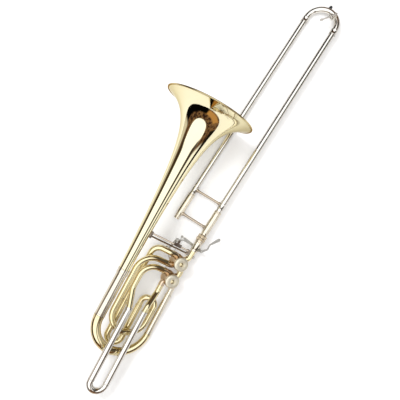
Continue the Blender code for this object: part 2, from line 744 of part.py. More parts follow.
def make_second_action(bell_frame, slide_to_bell, steel, silver):
    """Saddle on the neck, the second lever, and the rod to the second valve."""
    x, y = SECOND_PIVOT
    pivot = Vector((x, y, 0))
    rest = pivot + polar(SECOND_ARM, 180 - lever_swing(SECOND_ARM) / 2)
    hub_low, hub_high = -15.6, 12.8
    saddle_x = 12.0
    post = drum("second_lever_saddle", POST_R, hub_low - 2.9, hub_high + 0.4, pivot, segments=14)
    plate = strap("plate", pivot, (saddle_x + 1, -356.0), (4.4, 4.0), hub_low - 2.7, hub_low - 0.4)
    upright = block("upright", (8.0, 7.0, 22.0), (saddle_x, -355.0, -6.5))
    saddle = joined(post, plate, upright)
    fitted(cut(saddle, neck_cutter(slide_to_bell)), bell_frame, silver)

    hub = drum("second_lever", HUB_R, hub_low, hub_high, pivot, segments=18)
    link_arm = strap("arm", pivot, rest, (3.6, 3.0), hub_low, hub_low + 2.8)
    pin = drum("pin", PIN_R, ROD_LEVELS[1] - 1.8, hub_low + 2, rest, segments=10)
    knees = [Vector((x + 13, y + 12, 0)), Vector((x + 13, y + 26, 0)), Vector((x + 30, y + 48, 0))]
    arms = [strap("arm", pivot, knees[0], (3.0, 2.0), 10.0, 12.6),
            strap("arm", knees[0], knees[1], (2.0, 2.0), 10.3, 12.3),
            strap("arm", knees[1], knees[2], (1.9, 4.5), 10.1, 12.5)]
    lever = joined(hub, link_arm, pin, *arms)
    cut(lever, drum("hole", POST_R + GAP, hub_low - 3, hub_high + 3, pivot, segments=20))
    fitted(lever, bell_frame, steel, pivot)
    base = pivot + Vector((0, 0, -11.0))
    spring = torsion_spring("second_lever_spring", base, (0, 0, 1), -20, 2.25, 5.2, 0.5, 2.2, (6.0, 6.0))
    fitted(spring, bell_frame, steel)
    make_rod(2, rest, bell_frame, steel)


def make_rod(number, lever_end, bell_frame, steel):
    """A link rod: an eye round the lever's pin, and a pin that rides in the stop arm's slot."""
    level = ROD_LEVELS[number - 1]
    centre = Vector((VALVE_X, VALVE_Y[number - 1], 0))
    far = centre + polar(ARM_PIN_R, stop_arm_angle(number) - 45)
    ahead = (far - lever_end).normalized()
    lift = Vector((0, 0, level))
    eye = drum(f"link_rod_{number}", 3.4, level - 1.2, level + 1.2, lever_end, segments=18)
    line = rod("line", [lever_end + ahead * 2.4 + lift, far + lift], ROD_R)
    pin = drum("pin", ROD_R + 0.2, level - ROD_R - 0.3, ARM_LEVEL + 3.2, far, segments=12)
    link = joined(eye, line, pin)
    cut(link, drum("hole", PIN_R + GAP, level - 5, level + 5, lever_end, segments=16))
    fitted(link, bell_frame, steel, lever_end)


# Hand slide


def slide_brace(name, y, seat_r, rod_r, foot_r):
    """A bar across the slide whose ends flare into feet that hug the two tubes."""
    low, high = seat_r - 3.0, SLIDE_SPACING - seat_r + 3.0
    half = [(foot_r, low), (foot_r, low + 4.5), (rod_r + 0.4, low + 7.0), (rod_r, low + 11.0)]
    mirrored = [(radius, low + high - x) for radius, x in reversed(half)]
    brace = turned(name, [(0, low), *half, *mirrored, (0, high)], (0, y, 0), (1, 0, 0), 16)
    seats = [drum("seat", seat_r + GAP, -30, 30, (x, y, 0), (0, 1, 0), segments=36) for x in (0.0, SLIDE_SPACING)]
    return cut(brace, *seats)


def make_inner_slide(slide_frame, silver):
    """Everything of the hand slide that stays with the bell section."""
    tube_way = OUTER_TUBE_R + 0.4
    for name, x, barrel_name, span in (("inner_tube_upper", 0.0, "cork_barrel_upper", UPPER_BARREL_Y),
                                       ("inner_tube_lower", SLIDE_SPACING, "cork_barrel_lower", LOWER_BARREL_Y)):
        line = along_y(x, CROOK_END_Y - CROOK_LEAD - 1, span[1] + 3)
        fitted(pipe(name, line, INNER_TUBE_R, INNER_TUBE_WALL), slide_frame, silver)
        depth = span[0] - span[1]
        hold = depth - 30
        tube_hole = INNER_TUBE_R + 0.4
        profile = [(tube_way, 0), (BARREL_R + 0.5, 0), (BARREL_R + 0.5, 5), (BARREL_R, 6), (BARREL_R, depth - 6),
                   (BARREL_R - 1.4, depth), (tube_hole, depth), (tube_hole, hold), (tube_way, hold)]
        barrel = turned(barrel_name, profile, (x, span[0], 0), (0, -1, 0))
        fitted(barrel, slide_frame, silver)
    start, end = UPPER_BARREL_Y[1] - GAP, RECEIVER_END_Y
    length = start - end
    profile = [(6.0, 0), (8.2, 0), (7.8, 4), (7.2, 5), (7.2, length - 4), (7.9, length - 3), (7.9, length),
               (6.4, length)]
    fitted(turned("mouthpiece_receiver", profile, (0, start, 0), (0, -1, 0)), slide_frame, silver)

    brace = slide_brace("hand_brace", HAND_BRACE_Y, BARREL_R, 3.8, 5.2)
    fitted(brace, slide_frame, silver)

    length = TENON_Y[0] - TENON_Y[1]
    profile = [(TENON_R - 0.9, 0), (TENON_R, 0), (TENON_R, length - 4), (TENON_R - 0.4, length),
               (TENON_R - 0.9, length)]
    tenon = turned("slide_tenon", profile, (SLIDE_SPACING, TENON_Y[0], 0), (0, -1, 0), 20)
    fitted(tenon, slide_frame, silver)
    hole_r = TENON_R + 0.45
    for name, span, radius in (("slide_lock_ring", LOCK_RING_Y, 12.0), ("slide_nut", NUT_Y, 12.6)):
        length = span[0] - span[1]
        profile = [(hole_r, 0), (radius - 1, 0), (radius, 1), (radius, length - 1), (radius - 1, length),
                   (hole_r, length)]
        ring = turned(name, profile, (SLIDE_SPACING, span[0], 0), (0, -1, 0))
        fitted(ring, slide_frame, silver, (SLIDE_SPACING, span[0], 0))


def make_outer_slide(slide_frame, silver, brass, rubber):
    """The sliding half: two tubes, brace, ferrules, crook and bumper."""
    start = CROOK_END_Y - CROOK_LEAD
    for name, x in (("outer_tube_upper", 0.0), ("outer_tube_lower", SLIDE_SPACING)):
        line = along_y(x, start - GAP, OUTER_MOUTH_Y)
        middle = start - OUTER_BRACE_Y
        radii = [(0.0, OUTER_TUBE_R), (middle - 12, OUTER_TUBE_R), (middle - 11, OUTER_COLLAR_R),
                 (middle + 11, OUTER_COLLAR_R), (middle + 12, OUTER_TUBE_R), (1000.0, OUTER_TUBE_R)]
        fitted(pipe(name, line, radii, OUTER_TUBE_WALL), slide_frame, silver)
    brace = slide_brace("outer_brace", OUTER_BRACE_Y, OUTER_COLLAR_R, 3.7, 5.0)
    fitted(brace, slide_frame, silver)

    radius = SLIDE_SPACING / 2
    corners = [(0, start, 0), (0, CROOK_END_Y + radius, 0), (SLIDE_SPACING, CROOK_END_Y + radius, 0),
               (SLIDE_SPACING, start, 0)]
    crook = pipe("slide_crook", bent(corners, [radius, radius], 18), CROOK_TUBE_R, 0.8, 4)
    fitted(crook, slide_frame, silver)
    ferrule_r = CROOK_TUBE_R + 0.9
    for name, x in (("crook_ferrule_upper", 0.0), ("crook_ferrule_lower", SLIDE_SPACING)):
        profile = [(CROOK_TUBE_R + GAP, -9), (ferrule_r, -9), (ferrule_r + 0.3, -7), (ferrule_r, 7),
                   (CROOK_TUBE_R + GAP, 7)]
        fitted(turned(name, profile, (x, start, 0), (0, 1, 0)), slide_frame, silver)
    profile = [(0, 0.6), (4.6, 0.6), (4.8, 3), (4.2, 6.5), (3.0, BUMPER_LENGTH), (0, BUMPER_LENGTH)]
    bumper = turned("slide_bumper", profile, (radius, CROOK_END_Y + radius + CROOK_TUBE_R, 0), (0, 1, 0), 16)
    fitted(bumper, slide_frame, rubber)


def make_water_key(slide_frame, steel, silver, cork):
    """A see-saw lever over the crook, held on its cork by a coil spring."""
    radius = SLIDE_SPACING / 2
    centre = Vector((radius, CROOK_END_Y, 0))
    outward = polar(1.0, KEY_ANGLE)
    sideways = polar(1.0, KEY_ANGLE + 90)
    nipple = centre + outward * radius
    pivot = centre + outward * KEY_PIVOT_R
    touch = centre + outward * KEY_TOUCH_R
    top = CROOK_TUBE_R
    level = top + KEY_LEVEL
    axis_point = pivot + Vector((0, 0, level))
    cheek_at = 7.8
    stand = drum("water_key_saddle", 3.6, top - 1.0, top + KEY_NIPPLE_HEIGHT, nipple, segments=18)
    bridge = strap("bridge", nipple, pivot, (3.4, 4.2), top + 0.6, top + 2.2)
    floor = block("floor", (17.8, 5.4, 2.2), pivot + Vector((0, 0, top + 1.6)), KEY_ANGLE + 90)
    cheeks = [strap("cheek", pivot + sideways * side * cheek_at - outward * 1.8,
                    pivot + sideways * side * cheek_at + outward * 1.8, (0.8, 0.8), top + 0.9, level + 2.0)
              for side in (-1, 1)]
    pin = rod("pin", [axis_point + sideways * side * (cheek_at + 1.2) for side in (-1, 1)], KEY_PIN_R, 2)
    saddle = joined(stand, bridge, floor, *cheeks, pin)
    arc = [centre + polar(radius, angle) for angle in range(0, 121, 15)]
    fitted(cut(saddle, rod("seat", arc, CROOK_TUBE_R + 2 * GAP, 6)), slide_frame, silver)

    cup = drum("water_key_lever", 3.7, level - 1.3, level + 1.1, nipple, segments=18)
    arm = strap("arm", nipple, touch, (2.6, 2.0), level - 1.0, level + 0.9)
    paddle = strap("paddle", touch, touch - outward * 5, (2.8, 4.2), level - 0.8, level + 1.0)
    boss = rod("boss", [axis_point + sideways * offset for offset in (-6.4, 2.8)], 2.4, 4)
    lever = joined(cup, arm, paddle, boss)
    cut(lever, rod("bore", [axis_point + sideways * side * 9 for side in (-1, 1)], KEY_PIN_R + GAP, 4))
    fitted(lever, slide_frame, silver, axis_point)
    spring_base = axis_point + sideways * 3.5
    spring = torsion_spring("water_key_spring", spring_base, sideways, 205, 2.5, 2.1, 0.3, 1.06, (5.0, 5.0))
    fitted(spring, slide_frame, steel)
    pad = drum("water_key_cork", 3.0, top + KEY_NIPPLE_HEIGHT + GAP, level - 1.3 - GAP, nipple, segments=14)
    fitted(pad, slide_frame, cork)


def stand_on_origin(root):
    """Moves the whole object so that the middle of its footprint is the origin and it stands on z = 0."""
    bpy.context.view_layer.update()
    points = [thing.matrix_world @ vertex.co for thing in bpy.data.objects if thing.type == "MESH"
              for vertex in thing.data.vertices]
    low = [min(point[axis] for point in points) for axis in range(3)]
    high = [max(point[axis] for point in points) for axis in range(3)]
    root.location = (-(low[0] + high[0]) / 2, -(low[1] + high[1]) / 2, -low[2])
    bpy.context.view_layer.update()


def main():
    clear_scene()
    brass = material("yellow_brass", (0.85, 0.60, 0.25), 0.12, 1.0)
    silver = material("nickel_silver", (0.80, 0.77, 0.68), 0.14, 1.0)
    steel = material("polished_steel", (0.62, 0.61, 0.58), 0.2, 1.0)
    cork = material("cork", (0.42, 0.24, 0.12), 0.85, 0.0)
    rubber = material("black_rubber", (0.02, 0.02, 0.02), 0.6, 0.0)

    root = frame("root", None, (0, 0, 0), (0, 0, 0))
    slide_frame = frame("slide_frame", root, SLIDE_FRAME_PLACE, (SLIDE_PITCH, -SLIDE_TILT, 0))
    bell_frame = frame("bell_frame", root, BELL_FRAME_PLACE, (BELL_PITCH, BELL_ROLL, BELL_YAW), "YXZ")
    bpy.context.view_layer.update()
    in_mm = Matrix.Scale(MM, 4)
    slide_to_bell = in_mm.inverted() @ bell_frame.matrix_world.inverted() @ slide_frame.matrix_world @ in_mm

    make_bell(bell_frame, brass)
    make_bell_brace(bell_frame, slide_to_bell, silver)
    make_neck(bell_frame, slide_frame, slide_to_bell, brass, silver)
    for number in (1, 2):
        make_valve(number, bell_frame, brass, silver, steel)
        make_stops(number, bell_frame, steel, cork)
    make_valve_link(bell_frame, brass)
    make_main_tuning(bell_frame, brass, silver)
    make_first_loop(bell_frame, brass)
    make_second_loop(bell_frame, brass, silver)
    make_thumb_action(bell_frame, steel, silver)
    make_second_action(bell_frame, slide_to_bell, steel, silver)
    make_inner_slide(slide_frame, silver)
    make_outer_slide(slide_frame, silver, brass, rubber)
    make_water_key(slide_frame, steel, silver, cork)
    stand_on_origin(root)


main()
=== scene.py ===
"""Looks of a bass trombone that lies on a white floor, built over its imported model.

Shapes are worked out in millimetres in two spaces, one along the hand slide and one in the plane of the bell,
and are placed in the model's frame as each piece is finished.
"""

import json
import logging
import math
from dataclasses import dataclass, field
from enum import Enum
from typing import Iterable, Optional, Sequence, Union

import bmesh
import bpy
import numpy as np
from mathutils import Euler, Matrix, Vector


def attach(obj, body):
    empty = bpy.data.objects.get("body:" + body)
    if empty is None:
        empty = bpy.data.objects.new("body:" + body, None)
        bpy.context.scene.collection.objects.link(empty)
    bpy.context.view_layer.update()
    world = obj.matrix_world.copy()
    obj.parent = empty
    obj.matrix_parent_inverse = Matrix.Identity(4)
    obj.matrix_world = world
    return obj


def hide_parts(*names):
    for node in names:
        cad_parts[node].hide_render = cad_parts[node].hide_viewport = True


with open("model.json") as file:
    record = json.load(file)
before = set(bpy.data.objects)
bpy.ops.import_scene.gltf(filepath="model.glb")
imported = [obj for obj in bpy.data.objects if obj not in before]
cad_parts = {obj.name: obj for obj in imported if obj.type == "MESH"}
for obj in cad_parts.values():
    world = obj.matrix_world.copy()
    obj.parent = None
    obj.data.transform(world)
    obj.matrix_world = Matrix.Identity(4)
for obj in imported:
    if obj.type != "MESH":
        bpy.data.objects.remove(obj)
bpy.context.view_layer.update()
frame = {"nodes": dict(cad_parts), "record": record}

MM = 0.001
SMOOTH_ANGLE = math.radians(38)
LOG = logging.getLogger("bass_trombone")

Point = Union[Vector, Sequence[float]]
Knots = list[tuple[float, float]]


class Body(Enum):
    """The moving bodies that pieces ride on."""

    FIXED = "bell_section"
    OUTER_SLIDE = "outer_slide"
    WATER_KEY = "water_key"
    LOCK_RING = "lock_ring"
    NUT = "slide_nut"
    MAIN_SLIDE = "main_slide"
    FIRST_SLIDE = "first_valve_slide"
    SECOND_SLIDE = "second_valve_slide"
    THUMB_LEVER = "thumb_lever"
    SECOND_LEVER = "second_lever"
    ROTOR_1 = "rotor_1"
    ROTOR_2 = "rotor_2"


class Slot(Enum):
    """The record's material slots."""

    BRASS = "yellow_brass"
    SILVER = "nickel_silver"
    STEEL = "polished_steel"
    CORK = "cork"
    RUBBER = "black_rubber"


class Joining(Enum):
    """Ways to combine two closed shapes."""

    ADD = "UNION"
    CUT = "DIFFERENCE"
    COMMON = "INTERSECT"


class Graph:
    """A node tree that is built a node at a time."""

    def __init__(self, tree: bpy.types.NodeTree) -> None:
        """Keeps the tree that nodes are added to."""
        self.tree = tree

    def add(self, kind: str, values: Optional[dict] = None, **settings: object) -> bpy.types.Node:
        """Adds a node.

        Args:
            kind: the node's type.
            values: what goes into its inputs: another node's socket, or a plain value.
            **settings: the node's own options.

        Returns:
            The new node.
        """
        node = self.tree.nodes.new(kind)
        for name, value in settings.items():
            setattr(node, name, value)
        for key, value in (values or {}).items():
            if isinstance(value, bpy.types.NodeSocket):
                self.tree.links.new(value, node.inputs[key])
            else:
                node.inputs[key].default_value = value
        return node

    def maths(self, operation: str, *values: object) -> bpy.types.NodeSocket:
        """The result of one math node."""
        prefix = "ShaderNodeMath"
        return self.add(prefix, dict(enumerate(values)), operation=operation).outputs[0]


# Finishes


@dataclass(frozen=True)
class Metal:
    """A polished metal, with faint clouds in its colour, handling marks and hairlines from polishing."""

    name: str
    slot: Slot
    colour: tuple[float, float, float]
    cloud: tuple[float, float, float]
    roughness: float
    spread: float
    hairlines: float
    edge: tuple[float, float, float]
    coat: float = 0.0

    def shade(self, graph: Graph, shader: bpy.types.Node) -> None:
        """Adds the finish's nodes to its shader."""
        place = graph.add("ShaderNodeTexCoord").outputs["Object"]
        clouds = graph.add("ShaderNodeTexNoise", {"Vector": place, "Scale": 22.0, "Detail": 3.0})
        marks = graph.add("ShaderNodeTexNoise", {"Vector": place, "Scale": 130.0, "Detail": 5.0})
        mixed = graph.add("ShaderNodeMix", {0: clouds.outputs["Fac"], 6: (*self.colour, 1.0),
                                            7: (*self.cloud, 1.0)}, data_type="RGBA")
        rough = graph.add("ShaderNodeMapRange", {"Value": marks.outputs["Fac"], "From Min": 0.3, "From Max": 0.75,
                                                 "To Min": self.roughness, "To Max": self.roughness + self.spread})
        along = graph.add("ShaderNodeMapping", {"Vector": place, "Scale": (420.0, 30.0, 420.0)})
        lines = graph.add("ShaderNodeTexNoise", {"Vector": along.outputs[0], "Scale": 4.0, "Detail": 2.0})
        relief = graph.add("ShaderNodeBump", {"Height": lines.outputs["Fac"], "Strength": self.hairlines,
                                              "Distance": 0.0002})
        graph.tree.links.new(mixed.outputs[2], shader.inputs["Base Color"])
        graph.tree.links.new(rough.outputs[0], shader.inputs["Roughness"])
        graph.tree.links.new(relief.outputs[0], shader.inputs["Normal"])
        shader.inputs["Metallic"].default_value = 1.0
        shader.inputs["Specular Tint"].default_value = (*self.edge, 1.0)
        shader.inputs["Coat Weight"].default_value = self.coat
        shader.inputs["Coat Roughness"].default_value = 0.04


@dataclass(frozen=True)
class Grain:
    """A dull material with specks, such as cork or moulded rubber."""

    name: str
    slot: Slot
    colour: tuple[float, float, float]
    speck: tuple[float, float, float]
    scale: float
    roughness: float
    depth: float

    def shade(self, graph: Graph, shader: bpy.types.Node) -> None:
        """Adds the finish's nodes to its shader."""
        place = graph.add("ShaderNodeTexCoord").outputs["Object"]
        cells = graph.add("ShaderNodeTexVoronoi", {"Vector": place, "Scale": self.scale})
        grain = graph.add("ShaderNodeTexNoise", {"Vector": place, "Scale": self.scale * 2.5, "Detail": 4.0})
        share = graph.add("ShaderNodeMapRange", {"Value": cells.outputs["Distance"], "From Min": 0.1,
                                                 "From Max": 0.5}).outputs[0]
        mixed = graph.add("ShaderNodeMix", {0: share, 6: (*self.speck, 1.0), 7: (*self.colour, 1.0)},
                          data_type="RGBA")
        rough = graph.add("ShaderNodeMapRange", {"Value": grain.outputs["Fac"], "To Min": self.roughness - 0.12,
                                                 "To Max": self.roughness + 0.1})
        relief = graph.add("ShaderNodeBump", {"Height": grain.outputs["Fac"], "Strength": 0.6,
                                              "Distance": self.depth})
        graph.tree.links.new(mixed.outputs[2], shader.inputs["Base Color"])
        graph.tree.links.new(rough.outputs[0], shader.inputs["Roughness"])
        graph.tree.links.new(relief.outputs[0], shader.inputs["Normal"])


Finish = Union[Metal, Grain]

WARM_EDGE = (0.34, 0.20, 0.08)
PALE_EDGE = (0.62, 0.54, 0.34)
GREY_EDGE = (0.26, 0.22, 0.18)
LACQUERED_BRASS = Metal("lacquered_brass", Slot.BRASS, (0.86, 0.77, 0.50), (0.81, 0.70, 0.42), 0.03, 0.04, 0.03,
                        WARM_EDGE, 0.4)
BELL_BRASS = Metal("bell_brass", Slot.BRASS, (0.88, 0.82, 0.58), (0.83, 0.76, 0.50), 0.03, 0.04, 0.03, PALE_EDGE, 0.4)
# Darker brown copy of the brass for the rim wire: painted shade for the dark outline along the rim.
RIM_BRASS_PAINTED_SHADE = Metal("rim_wire_brass_painted_shade", Slot.BRASS, (0.66, 0.57, 0.34), (0.56, 0.47, 0.26), 0.10, 0.08, 0.05, WARM_EDGE)
ROSE_BRASS = Metal("casing_brass", Slot.BRASS, (0.76, 0.63, 0.47), (0.64, 0.50, 0.36), 0.08, 0.10, 0.06, WARM_EDGE)
SATIN_BRASS = Metal("satin_brass", Slot.BRASS, (0.90, 0.86, 0.72), (0.86, 0.81, 0.66), 0.42, 0.10, 0.10, WARM_EDGE)
NICKEL_SILVER = Metal("nickel_silver_polished", Slot.SILVER, (0.83, 0.81, 0.77), (0.79, 0.76, 0.70), 0.04, 0.05,
                      0.04, GREY_EDGE)
WARM_SILVER = Metal("nickel_silver_warm", Slot.SILVER, (0.84, 0.78, 0.66), (0.78, 0.71, 0.58), 0.10, 0.10, 0.06,
                    GREY_EDGE)
GRIP_SILVER = Metal("nickel_silver_grips", Slot.SILVER, (0.74, 0.64, 0.48), (0.62, 0.51, 0.36), 0.22, 0.12, 0.08,
                    GREY_EDGE)
# Darker, brownish copy of the nickel silver for the braces: painted shade and a painted reflection of the brass
# tubes.
BRACE_SILVER_PAINTED_SHADE = Metal("nickel_silver_braces_painted_shade", Slot.SILVER, (0.62, 0.55, 0.47), (0.54, 0.45, 0.36), 0.09, 0.08, 0.06,
                     GREY_EDGE)
STEEL = Metal("polished_steel", Slot.STEEL, (0.84, 0.82, 0.79), (0.76, 0.73, 0.69), 0.26, 0.12, 0.10, GREY_EDGE)
CORK = Grain("pressed_cork", Slot.CORK, (0.42, 0.24, 0.12), (0.20, 0.10, 0.05), 900.0, 0.85, 0.0003)
RUBBER = Grain("moulded_rubber", Slot.RUBBER, (0.018, 0.018, 0.019), (0.030, 0.030, 0.031), 1500.0, 0.55, 0.0001)
FINISH_OF_SLOT: dict[str, Finish] = {Slot.BRASS.value: LACQUERED_BRASS, Slot.SILVER.value: NICKEL_SILVER,
                                     Slot.STEEL.value: STEEL, Slot.CORK.value: CORK, Slot.RUBBER.value: RUBBER}


def material_of(finish: Finish) -> bpy.types.Material:
    """The Blender material of a finish, made on its first use."""
    made = bpy.data.materials.get(finish.name)
    if made:
        return made
    made = bpy.data.materials.new(finish.name)
    made.use_nodes = True
    graph = Graph(made.node_tree)
    shader = made.node_tree.nodes["Principled BSDF"]
    finish.shade(graph, shader)
    made.diffuse_color = (*finish.colour, 1.0)
    return made


# Shapes that nodes make


def shape_tree(name: str, sizes: dict[str, str]) -> tuple[Graph, bpy.types.Node]:
    """A new geometry tree.

    Args:
        name: the tree's name.
        sizes: the name and the socket type of each input, after the geometry.

    Returns:
        The tree as a graph, and the node that gives its inputs.
    """
    tree = bpy.data.node_groups.new(name, "GeometryNodeTree")
    tree.interface.new_socket("Geometry", in_out="OUTPUT", socket_type="NodeSocketGeometry")
    tree.interface.new_socket("Geometry", in_out="INPUT", socket_type="NodeSocketGeometry")
    for label, kind in sizes.items():
        tree.interface.new_socket(label, in_out="INPUT", socket_type=kind)
    graph = Graph(tree)
    return graph, graph.add("NodeGroupInput")


def end_tree(graph: Graph, shape: bpy.types.NodeSocket, look: bpy.types.NodeSocket) -> bpy.types.NodeTree:
    """Ends a geometry tree: what it made becomes plain mesh in one material."""
    plain = graph.add("GeometryNodeRealizeInstances", {"Geometry": shape}).outputs[0]
    dressed = graph.add("GeometryNodeSetMaterial", {"Geometry": plain, "Material": look}).outputs[0]
    graph.add("NodeGroupOutput", {"Geometry": dressed})
    return graph.tree


def tube_tree() -> bpy.types.NodeTree:
    """A round section carried along a line of points, each with its own radius."""
    graph, given = shape_tree("tube_along_line", {"Sides": "NodeSocketInt", "Capped": "NodeSocketBool",
                                                  "Material": "NodeSocketMaterial"})
    curve = graph.add("GeometryNodeMeshToCurve", {"Mesh": given.outputs["Geometry"]}).outputs[0]
    radius = graph.add("GeometryNodeInputNamedAttribute", {"Name": "tube_radius"}, data_type="FLOAT").outputs[0]
    ring = graph.add("GeometryNodeCurvePrimitiveCircle", {"Resolution": given.outputs["Sides"], "Radius": 1.0})
    skin = graph.add("GeometryNodeCurveToMesh", {"Curve": curve, "Profile Curve": ring.outputs[0], "Scale": radius,
                                                 "Fill Caps": given.outputs["Capped"]}).outputs[0]
    return end_tree(graph, skin, given.outputs["Material"])


def lathe_points(graph: Graph, rows: bpy.types.NodeSocket, segments: bpy.types.NodeSocket) -> tuple:
    """The grid that a turned shape starts from.

    Args:
        graph: the tree.
        rows: how many points the section has.
        segments: how many steps go round.

    Returns:
        The grid, each point's row, and the cosine and sine of its angle.
    """
    columns = graph.maths("ADD", segments, 1.0)
    grid = graph.add("GeometryNodeMeshGrid", {"Vertices X": rows, "Vertices Y": columns}).outputs[0]
    index = graph.add("GeometryNodeInputIndex").outputs[0]
    row = graph.maths("FLOOR", graph.maths("DIVIDE", graph.maths("ADD", index, 0.5), columns))
    column = graph.maths("SUBTRACT", index, graph.maths("MULTIPLY", row, columns))
    angle = graph.maths("MULTIPLY", graph.maths("DIVIDE", column, segments), 2 * math.pi)
    return grid, row, graph.maths("COSINE", angle), graph.maths("SINE", angle)


def turn_up(graph: Graph, grid: object, radius: object, height: object, cosine: object, sine: object) -> object:
    """Moves a grid's points onto the turned surface and closes its seam."""
    spot = graph.add("ShaderNodeCombineXYZ", {"X": graph.maths("MULTIPLY", radius, cosine),
                                              "Y": graph.maths("MULTIPLY", radius, sine), "Z": height}).outputs[0]
    placed = graph.add("GeometryNodeSetPosition", {"Geometry": grid, "Position": spot}).outputs[0]
    return graph.add("GeometryNodeMergeByDistance", {"Geometry": placed, "Distance": 0.001}).outputs[0]


def lathe_tree() -> bpy.types.NodeTree:
    """A section of points (radius in x, height in z) turned round the z axis."""
    graph, given = shape_tree("turned_section", {"Segments": "NodeSocketInt", "Material": "NodeSocketMaterial"})
    section = given.outputs["Geometry"]
    rows = graph.add("GeometryNodeAttributeDomainSize", {"Geometry": section}).outputs["Point Count"]
    grid, row, cosine, sine = lathe_points(graph, rows, given.outputs["Segments"])
    own = graph.add("GeometryNodeInputPosition").outputs[0]
    taken = graph.add("GeometryNodeSampleIndex", {"Geometry": section, "Value": own, "Index": row},
                      data_type="FLOAT_VECTOR").outputs[0]
    parts = graph.add("ShaderNodeSeparateXYZ", {0: taken}).outputs
    return end_tree(graph, turn_up(graph, grid, parts["X"], parts["Z"], cosine, sine), given.outputs["Material"])


def horn_tree() -> bpy.types.NodeTree:
    """A bell's outer face: its radius follows a power law behind the rim and settles to a slow taper."""
    number = "NodeSocketFloat"
    graph, given = shape_tree("horn_flare", {"Rim Radius": number, "Flare Start": number, "Flare Power": number,
                                             "Floor Radius": number, "Floor Reach": number, "Length": number,
                                             "Crowding": number, "Stations": "NodeSocketInt",
                                             "Segments": "NodeSocketInt", "Material": "NodeSocketMaterial"})
    size = given.outputs
    grid, row, cosine, sine = lathe_points(graph, size["Stations"], size["Segments"])
    share = graph.maths("DIVIDE", row, graph.maths("SUBTRACT", size["Stations"], 1.0))
    behind = graph.maths("MULTIPLY", graph.maths("POWER", share, size["Crowding"]), size["Length"])
    near = graph.maths("DIVIDE", size["Flare Start"], graph.maths("ADD", behind, size["Flare Start"]))
    horn = graph.maths("MULTIPLY", graph.maths("POWER", near, size["Flare Power"]), size["Rim Radius"])
    reach = graph.maths("MINIMUM", graph.maths("DIVIDE", behind, size["Floor Reach"]), 1.0)
    floor = graph.maths("MULTIPLY", reach, size["Floor Radius"])
    squares = graph.maths("ADD", graph.maths("POWER", horn, 2.0), graph.maths("POWER", floor, 2.0))
    radius = graph.maths("SQRT", squares)
    height = graph.maths("MULTIPLY", behind, -1.0)
    return end_tree(graph, turn_up(graph, grid, radius, height, cosine, sine), size["Material"])


def ridge_tree() -> bpy.types.NodeTree:
    """A ring of small upright ridges, for a grip that is cut round a rim."""
    number = "NodeSocketFloat"
    graph, given = shape_tree("grip_ridges", {"Count": "NodeSocketInt", "Radius": number, "Width": number,
                                              "Low": number, "High": number, "Material": "NodeSocketMaterial"})
    size = given.outputs
    ring = graph.add("GeometryNodeMeshCircle", {"Vertices": size["Count"], "Radius": size["Radius"]}).outputs[0]
    tall = graph.maths("SUBTRACT", size["High"], size["Low"])
    extent = graph.add("ShaderNodeCombineXYZ", {"X": size["Width"], "Y": size["Width"], "Z": tall}).outputs[0]
    ridge = graph.add("GeometryNodeMeshCube", {"Size": extent}).outputs[0]
    index = graph.add("GeometryNodeInputIndex").outputs[0]
    step = graph.maths("DIVIDE", 2 * math.pi, size["Count"])
    eighth = graph.maths("ADD", graph.maths("MULTIPLY", index, step), math.pi / 4)
    turn = graph.add("ShaderNodeCombineXYZ", {"Z": eighth}).outputs[0]
    row = graph.add("GeometryNodeInstanceOnPoints", {"Points": ring, "Instance": ridge, "Rotation": turn}).outputs[0]
    middle = graph.maths("MULTIPLY", graph.maths("ADD", size["Low"], size["High"]), 0.5)
    lift = graph.add("ShaderNodeCombineXYZ", {"Z": middle}).outputs[0]
    lifted = graph.add("GeometryNodeTransform", {"Geometry": row, "Translation": lift}).outputs[0]
    return end_tree(graph, lifted, size["Material"])


TREES = {"tube": tube_tree(), "lathe": lathe_tree(), "horn": horn_tree(), "ridges": ridge_tree()}


def grown(name: str, seed: bpy.types.Mesh, tree: str, sizes: dict[str, object], wall: float = 0.0) -> bpy.types.Mesh:
    """The plain mesh that a tree makes.

    Args:
        name: the mesh's name.
        seed: the mesh that the tree starts from.
        tree: which of the trees.
        sizes: a value for each of its inputs.
        wall: thickness to grow inward from the skin, or 0.

    Returns:
        The mesh, in millimetres.
    """
    holder = bpy.data.objects.new(name, seed)
    bpy.context.scene.collection.objects.link(holder)
    shape = holder.modifiers.new("Shape", "NODES")
    shape.node_group = TREES[tree]
    for item in TREES[tree].interface.items_tree:
        if item.in_out == "INPUT" and item.name in sizes:
            shape[item.identifier] = sizes[item.name]
    if wall:
        thick = holder.modifiers.new("Wall", "SOLIDIFY")
        thick.thickness = wall
        thick.offset = -1
        thick.use_even_offset = True
    return settled(holder)


def settled(holder: bpy.types.Object) -> bpy.types.Mesh:
    """The mesh of an object with its modifiers applied. The object is used up."""
    bpy.context.view_layer.update()
    graph = bpy.context.evaluated_depsgraph_get()
    mesh = bpy.data.meshes.new_from_object(holder.evaluated_get(graph))
    bpy.data.objects.remove(holder)
    return mesh


def seed_mesh(name: str, points: Iterable[Point], radii: Optional[Sequence[float]] = None) -> bpy.types.Mesh:
    """A line of points joined by edges, with a radius for each point if they are given."""
    points = [tuple(point) for point in points]
    mesh = bpy.data.meshes.new(name)
    mesh.from_pydata(points, [(k, k + 1) for k in range(len(points) - 1)], [])
    if radii:
        mesh.attributes.new("tube_radius", "FLOAT", "POINT").data.foreach_set("value", radii)
    return mesh


# Lines and plain shapes, in millimetres


def polar(radius: float, degrees: float) -> Vector:
    """The point of the xy plane at a radius and an angle."""
    angle = math.radians(degrees)
    return Vector((radius * math.cos(angle), radius * math.sin(angle), 0.0))


def straight(x: float, first: float, last: float, z: float = 0.0) -> list[Point]:
    """A line along y."""
    return [(x, first, z), (x, last, z)]


